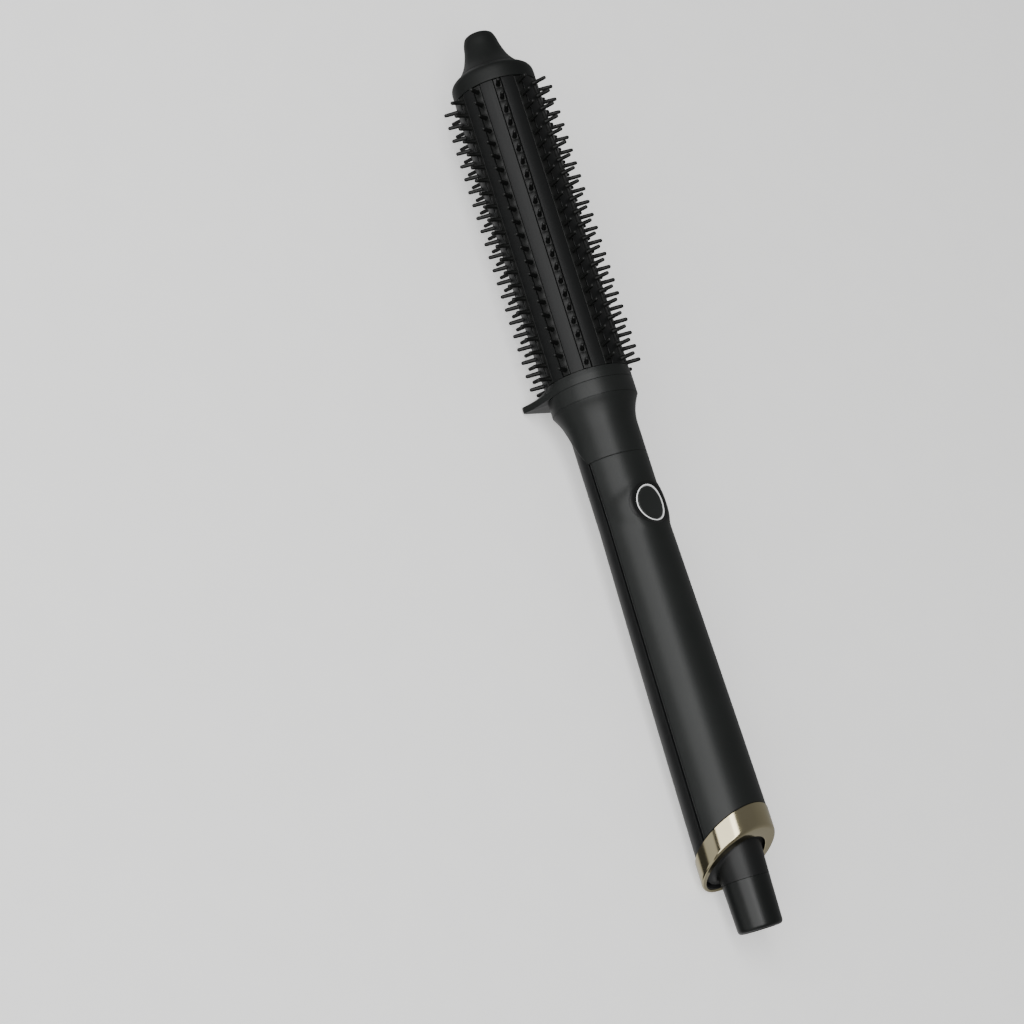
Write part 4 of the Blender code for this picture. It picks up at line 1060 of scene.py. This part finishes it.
@dataclass
class CordEnd:
    """The slanted end ring, the end cap and the swivel sleeve."""

    at: Stations = Stations()
    ring: float = 15.145
    ring_round: float = 0.9
    ring_wall: float = 0.9
    ring_lip: float = 1.0
    ring_top_round: float = 0.2
    lip_edge: float = 0.4
    opening: float = 12.1
    opening_shift: float = 2.0
    lip_round: float = 0.3
    front_round: float = 0.2
    fillet: float = 0.9
    back_fillet: float = 3.2
    back_flare: float = 3.6
    hollow: float = 1.3
    cap: float = 12.3
    cap_neck: float = 8.65
    cap_neck_top: float = 9.1
    sleeve_foot: float = 8.15
    sleeve_top: float = 8.65
    neck_round: float = 0.06
    rim_inset: tuple[float, ...] = (0.45, 0.38, 0.12)
    rim_round: float = 0.1
    skirt_wall: float = 1.2
    mouth: float = 6.0
    mouth_rim: float = 6.3
    mouth_depth: float = 0.45
    bore_round: float = 0.3
    mouth_round: float = 0.2
    rim_edge: float = 0.1
    foot_round: float = 1.7
    edge_round: float = 0.12
    cord_bore: float = 3.6
    cord_depth: float = 15.0
    lead_bore: float = 2.0
    clip_groove: float = 4.2
    clip_width: float = 1.5
    spindle: float = 5.0
    spindle_round: float = 0.2
    spindle_top: float = 47.0
    floor: float = 35.5
    skirt_top: float = 48.0

    def end_ring(self) -> Skin:
        """The ring: a slanted band with a lip inwards, rounder at the front.

        The lip's opening is a circle shifted to the back, r = sqrt(R^2 - (s sin t)^2) - s cos t.
        """
        low, high = self.at.ring_low, self.at.ring_top
        t = full_turn(240)
        opening = np.sqrt(self.opening ** 2 - (self.opening_shift * np.sin(t)) ** 2)
        opening = opening - self.opening_shift * np.cos(t)
        bend = self.ring_round + self.front_round * (1 + np.cos(t)) / 2
        arc = np.linspace(0, math.pi / 2, 14)[:, None]
        inner = self.ring - self.ring_wall
        edge = self.ring_top_round
        flat = np.ones(len(t))
        radius = np.vstack((
            opening, opening + self.lip_round * (1 - np.cos(arc[::2])), self.ring - bend * (1 - np.sin(arc)),
            self.ring * flat, (self.ring - edge) * flat, inner * flat, inner * flat))
        height = np.vstack((
            (low + self.lip_edge) * flat, low + self.lip_round * (1 - np.sin(arc[::2])) * flat,
            low + bend * (1 - np.cos(arc)), (high - edge) * flat, high * flat, high * flat,
            (low + self.lip_edge) * flat))
        grid = polar_grid(radius, t, height + FORM.slant * radius * np.cos(t))
        return grid_skin(grid, wrap_rows=True)

    def end_cap(self) -> Skin:
        """The cap: a slanted face inside the ring's lip and a neck round the spindle, with a skirt."""
        face = self.at.ring_low + self.ring_lip + GAP
        neck = self.at.swivel_top + FINE_GAP
        bore = self.spindle + GAP
        flange = self.ring - self.ring_wall - GAP
        skirt = self.cap - self.skirt_wall
        t = full_turn(200)
        arc = np.linspace(0, math.pi / 2, 12)[:, None]
        lower = np.array([(bore, neck), (self.cap_neck - self.neck_round, neck),
                          (self.cap_neck, neck + self.neck_round)])
        upper = np.array([(flange, self.at.ring_top), (self.cap, self.at.ring_top),
                          (self.cap, self.skirt_top), (skirt, self.skirt_top),
                          (skirt, self.floor), (bore, self.floor)])
        flat = np.ones(len(t))
        back = (1 - np.cos(t)) / 2
        fillet = self.fillet + (self.back_fillet - self.fillet) * back
        flare = self.fillet + (self.back_flare - self.fillet) * back
        deep = face + self.hollow * back
        rim = self.at.ring_low + self.lip_edge + self.rim_round
        wall = flange - np.array(self.rim_inset)[:, None] * flat
        radius = np.vstack((
            lower[:, :1] * flat, self.cap_neck_top + flare * (1 - np.cos(arc)),
            self.cap_neck_top + flare + self.rim_round, wall, upper[:, :1] * flat))
        height = np.vstack((
            lower[:, 1:] * flat, face - fillet * (1 - np.sin(arc)), deep, deep,
            (rim + self.rim_round) * flat, rim * flat, upper[:, 1:] * flat))
        lean = np.concatenate((np.zeros(3), np.ones(len(arc) + 6), np.zeros(4)))[:, None] * FORM.slant
        return grid_skin(polar_grid(radius, t, height + lean * radius * np.cos(t)), wrap_rows=True)

    def sleeve(self) -> Skin:
        """The swivel sleeve with its spindle: a soft lower edge, a shallow hollow round the cord bore."""
        top = self.at.swivel_top
        groove_top = self.floor + self.clip_width
        outline = rounded([
            (self.cord_bore, self.mouth_depth, self.bore_round),
            (self.mouth, self.mouth_depth, self.mouth_round), (self.mouth_rim, 0.0, self.rim_edge),
            (self.sleeve_foot, 0.0, self.foot_round), (self.sleeve_top, top, self.edge_round),
            (self.spindle, top, 0), (self.spindle, self.floor, 0), (self.clip_groove, self.floor, 0),
            (self.clip_groove, groove_top, 0), (self.spindle, groove_top, 0),
            (self.spindle, self.spindle_top, self.spindle_round), (self.lead_bore, self.spindle_top, 0),
            (self.lead_bore, self.cord_depth, 0), (self.cord_bore, self.cord_depth, 0),
        ], 6)
        return grid_skin(lathe(outline, 160), wrap_rows=True)

    def build(self) -> None:
        """Make the three pieces."""
        Piece("end_ring_gold", self.end_ring(), "end_ring").make()
        Piece("end_cap_face", self.end_cap(), "end_cap").make()
        Piece("swivel_sleeve_soft", self.sleeve(), "swivel_sleeve").make()


@dataclass
class InnerParts:
    """The pieces inside, which keep their solids."""

    def dress(self) -> None:
        """Give each shown node the finish of its slot."""
        for name, node in frame["nodes"].items():
            if node.hide_render:
                continue
            node.data.materials.clear()
            node.data.materials.append(RACK.get(SLOTS[name]))
            log.info("%s: dressed as %s", name, SLOTS[name])


@dataclass(frozen=True)
class Panel:
    """A soft light that faces the middle of the brush, long side along it.

    Turn is in degrees round the brush from the camera, positive to the right in the picture. Size is
    its width and length in metres, radiance is 1 for a white sheet's brightness, and distance is in
    millimetres from the brush's middle.
    """

    name: str
    turn: float
    size: tuple[float, float]
    distance: float
    radiance: float = 3.0


@dataclass
class Studio:
    """Floor, soft lights and the camera at the photograph's viewing angle."""

    lean: float = 12.5
    button_turn: float = 44.0
    distance: float = 889.0
    look_height: float = 167.9
    side_shift: float = -40.3
    panels: tuple[Panel, ...] = (Panel("key_panel", -9.5, (2.2, 3.0), 2000.0),
                                 Panel("key_strip", 14.0, (0.5, 3.0), 1950.0))
    card: Finish = Finish("white_studio_card", "#f4f4f3", "#f1f1f0", 0.6, relief=0.0, glow=0.5)
    floor_half: float = 6.0
    sky: tuple[tuple[float, float], ...] = (
        (-180.0, 0.8), (-172.0, 0.7), (-164.0, 0.06), (-134.0, 0.06), (-127.0, 0.62), (-94.0, 0.68),
        (-91.0, 0.03), (-84.0, 0.03), (-78.0, 0.3), (-14.0, 0.18), (30.0, 0.2), (90.0, 0.3), (134.0, 0.4),
        (142.0, 0.7), (180.0, 0.8))
    image_turn: float = math.radians(17.03)
    view_width: float = 370.7
    sensor: float = 36.0
    far_clip: float = 100.0

    def camera_axes(self) -> tuple[np.ndarray, np.ndarray, np.ndarray]:
        """Right, up and back of the camera on the brush's axes.

        Back leans under the brush's axis by the lean, on the side turned from the button by the
        button's turn. The axis seen in the picture is turned from the vertical by the image's turn.
        """
        lean, turn = math.radians(self.lean), math.radians(self.button_turn)
        level = math.cos(lean)
        back = np.array((level * math.cos(turn), -level * math.sin(turn), -math.sin(lean)))
        across = np.array((math.sin(turn), math.cos(turn), 0.0))
        down = np.cross(across, back)
        c, s = math.cos(self.image_turn), math.sin(self.image_turn)
        right = s * down + c * across
        up = s * across - c * down
        return right, up, back

    def camera(self) -> None:
        """Set the camera where the photograph's was."""
        axes = self.camera_axes()
        turn = math.radians(self.button_turn)
        aim = np.array((self.side_shift * math.sin(turn), self.side_shift * math.cos(turn), self.look_height))
        data = bpy.data.cameras.new("camera")
        data.sensor_width = self.sensor
        data.lens = self.sensor * self.distance / self.view_width
        data.clip_end = self.far_clip
        item = add_object("camera", data)
        self.stand(item, aim + axes[2] * self.distance, [AXES.direction(axis) for axis in axes])
        bpy.context.scene.camera = item

    @staticmethod
    def stand(item: bpy.types.Object, place: np.ndarray, axes: list[np.ndarray]) -> None:
        """Put an object at a place on the brush's axes, its own axes along three directions of the frame."""
        turned = Matrix(np.column_stack(axes).tolist()).to_4x4()
        item.matrix_world = Matrix.Translation(AXES.place(place)) @ turned

    def light(self, panel: Panel) -> None:
        """Set up one soft light."""
        angle = math.radians(panel.turn - self.button_turn)
        way = np.array((math.cos(angle), math.sin(angle), 0.0))
        back = AXES.direction(way)
        right = unit(np.cross(AXES.direction(np.array((0.0, 0.0, 1.0))), back))
        data = bpy.data.lights.new(panel.name, "AREA")
        data.shape = "RECTANGLE"
        data.size, data.size_y = panel.size
        data.energy = panel.radiance * math.pi * panel.size[0] * panel.size[1]
        middle = np.array((0, 0, self.look_height))
        axes = [right, np.cross(back, right), back]
        self.stand(add_object(panel.name, data), middle + way * panel.distance, axes)

    def floor(self) -> None:
        """A wide pale floor that the brush lies on."""
        mesh = bpy.data.meshes.new("floor")
        half = self.floor_half
        mesh.from_pydata([(-half, -half, 0), (half, -half, 0), (half, half, 0), (-half, half, 0)], [],
                         [(0, 1, 2, 3)])
        item = add_object("floor", mesh)
        mesh.materials.append(self.card.build())
        item.visible_glossy = False

    def surroundings(self) -> None:
        """The light from all round: its strength by the angle about X, after the sky's stops."""
        world = bpy.data.worlds.new("studio")
        world.use_nodes = True
        tree = world.node_tree
        way = add_node(tree, "ShaderNodeTexCoord").outputs["Generated"]
        split = add_node(tree, "ShaderNodeSeparateXYZ", {}, {0: way})
        sides = {0: split.outputs["Y"], 1: split.outputs["Z"]}
        turn = add_node(tree, "ShaderNodeMath", {}, sides, operation="ARCTAN2")
        share = add_node(tree, "ShaderNodeMapRange", {1: -math.pi, 2: math.pi}, {0: turn.outputs[0]})
        ramp = add_node(tree, "ShaderNodeValToRGB", {}, {0: share.outputs[0]})
        stops = ramp.color_ramp.elements
        for place, value in self.sky[1:-1]:
            stops.new((place + 180) / 360)
        for stop, (place, value) in zip(stops, self.sky):
            stop.color = (value, value, value, 1.0)
        tree.links.new(ramp.outputs[0], tree.nodes["Background"].inputs["Strength"])
        tree.nodes["Background"].inputs["Color"].default_value = linear("#ffffff")
        bpy.context.scene.world = world

    def build(self) -> None:
        """Set the whole studio."""
        self.floor()
        self.camera()
        self.surroundings()
        for panel in self.panels:
            self.light(panel)


def main() -> None:
    """Build every sub-assembly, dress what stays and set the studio."""
    logging.basicConfig(level=logging.INFO, format="%(name)s %(message)s")
    for part in (Barrel(), CoolTip(), Neck(), Handle(), ButtonGroup(), CordEnd()):
        part.build()
    InnerParts().dress()
    Studio().build()


if __name__ == "__main__":
    main()
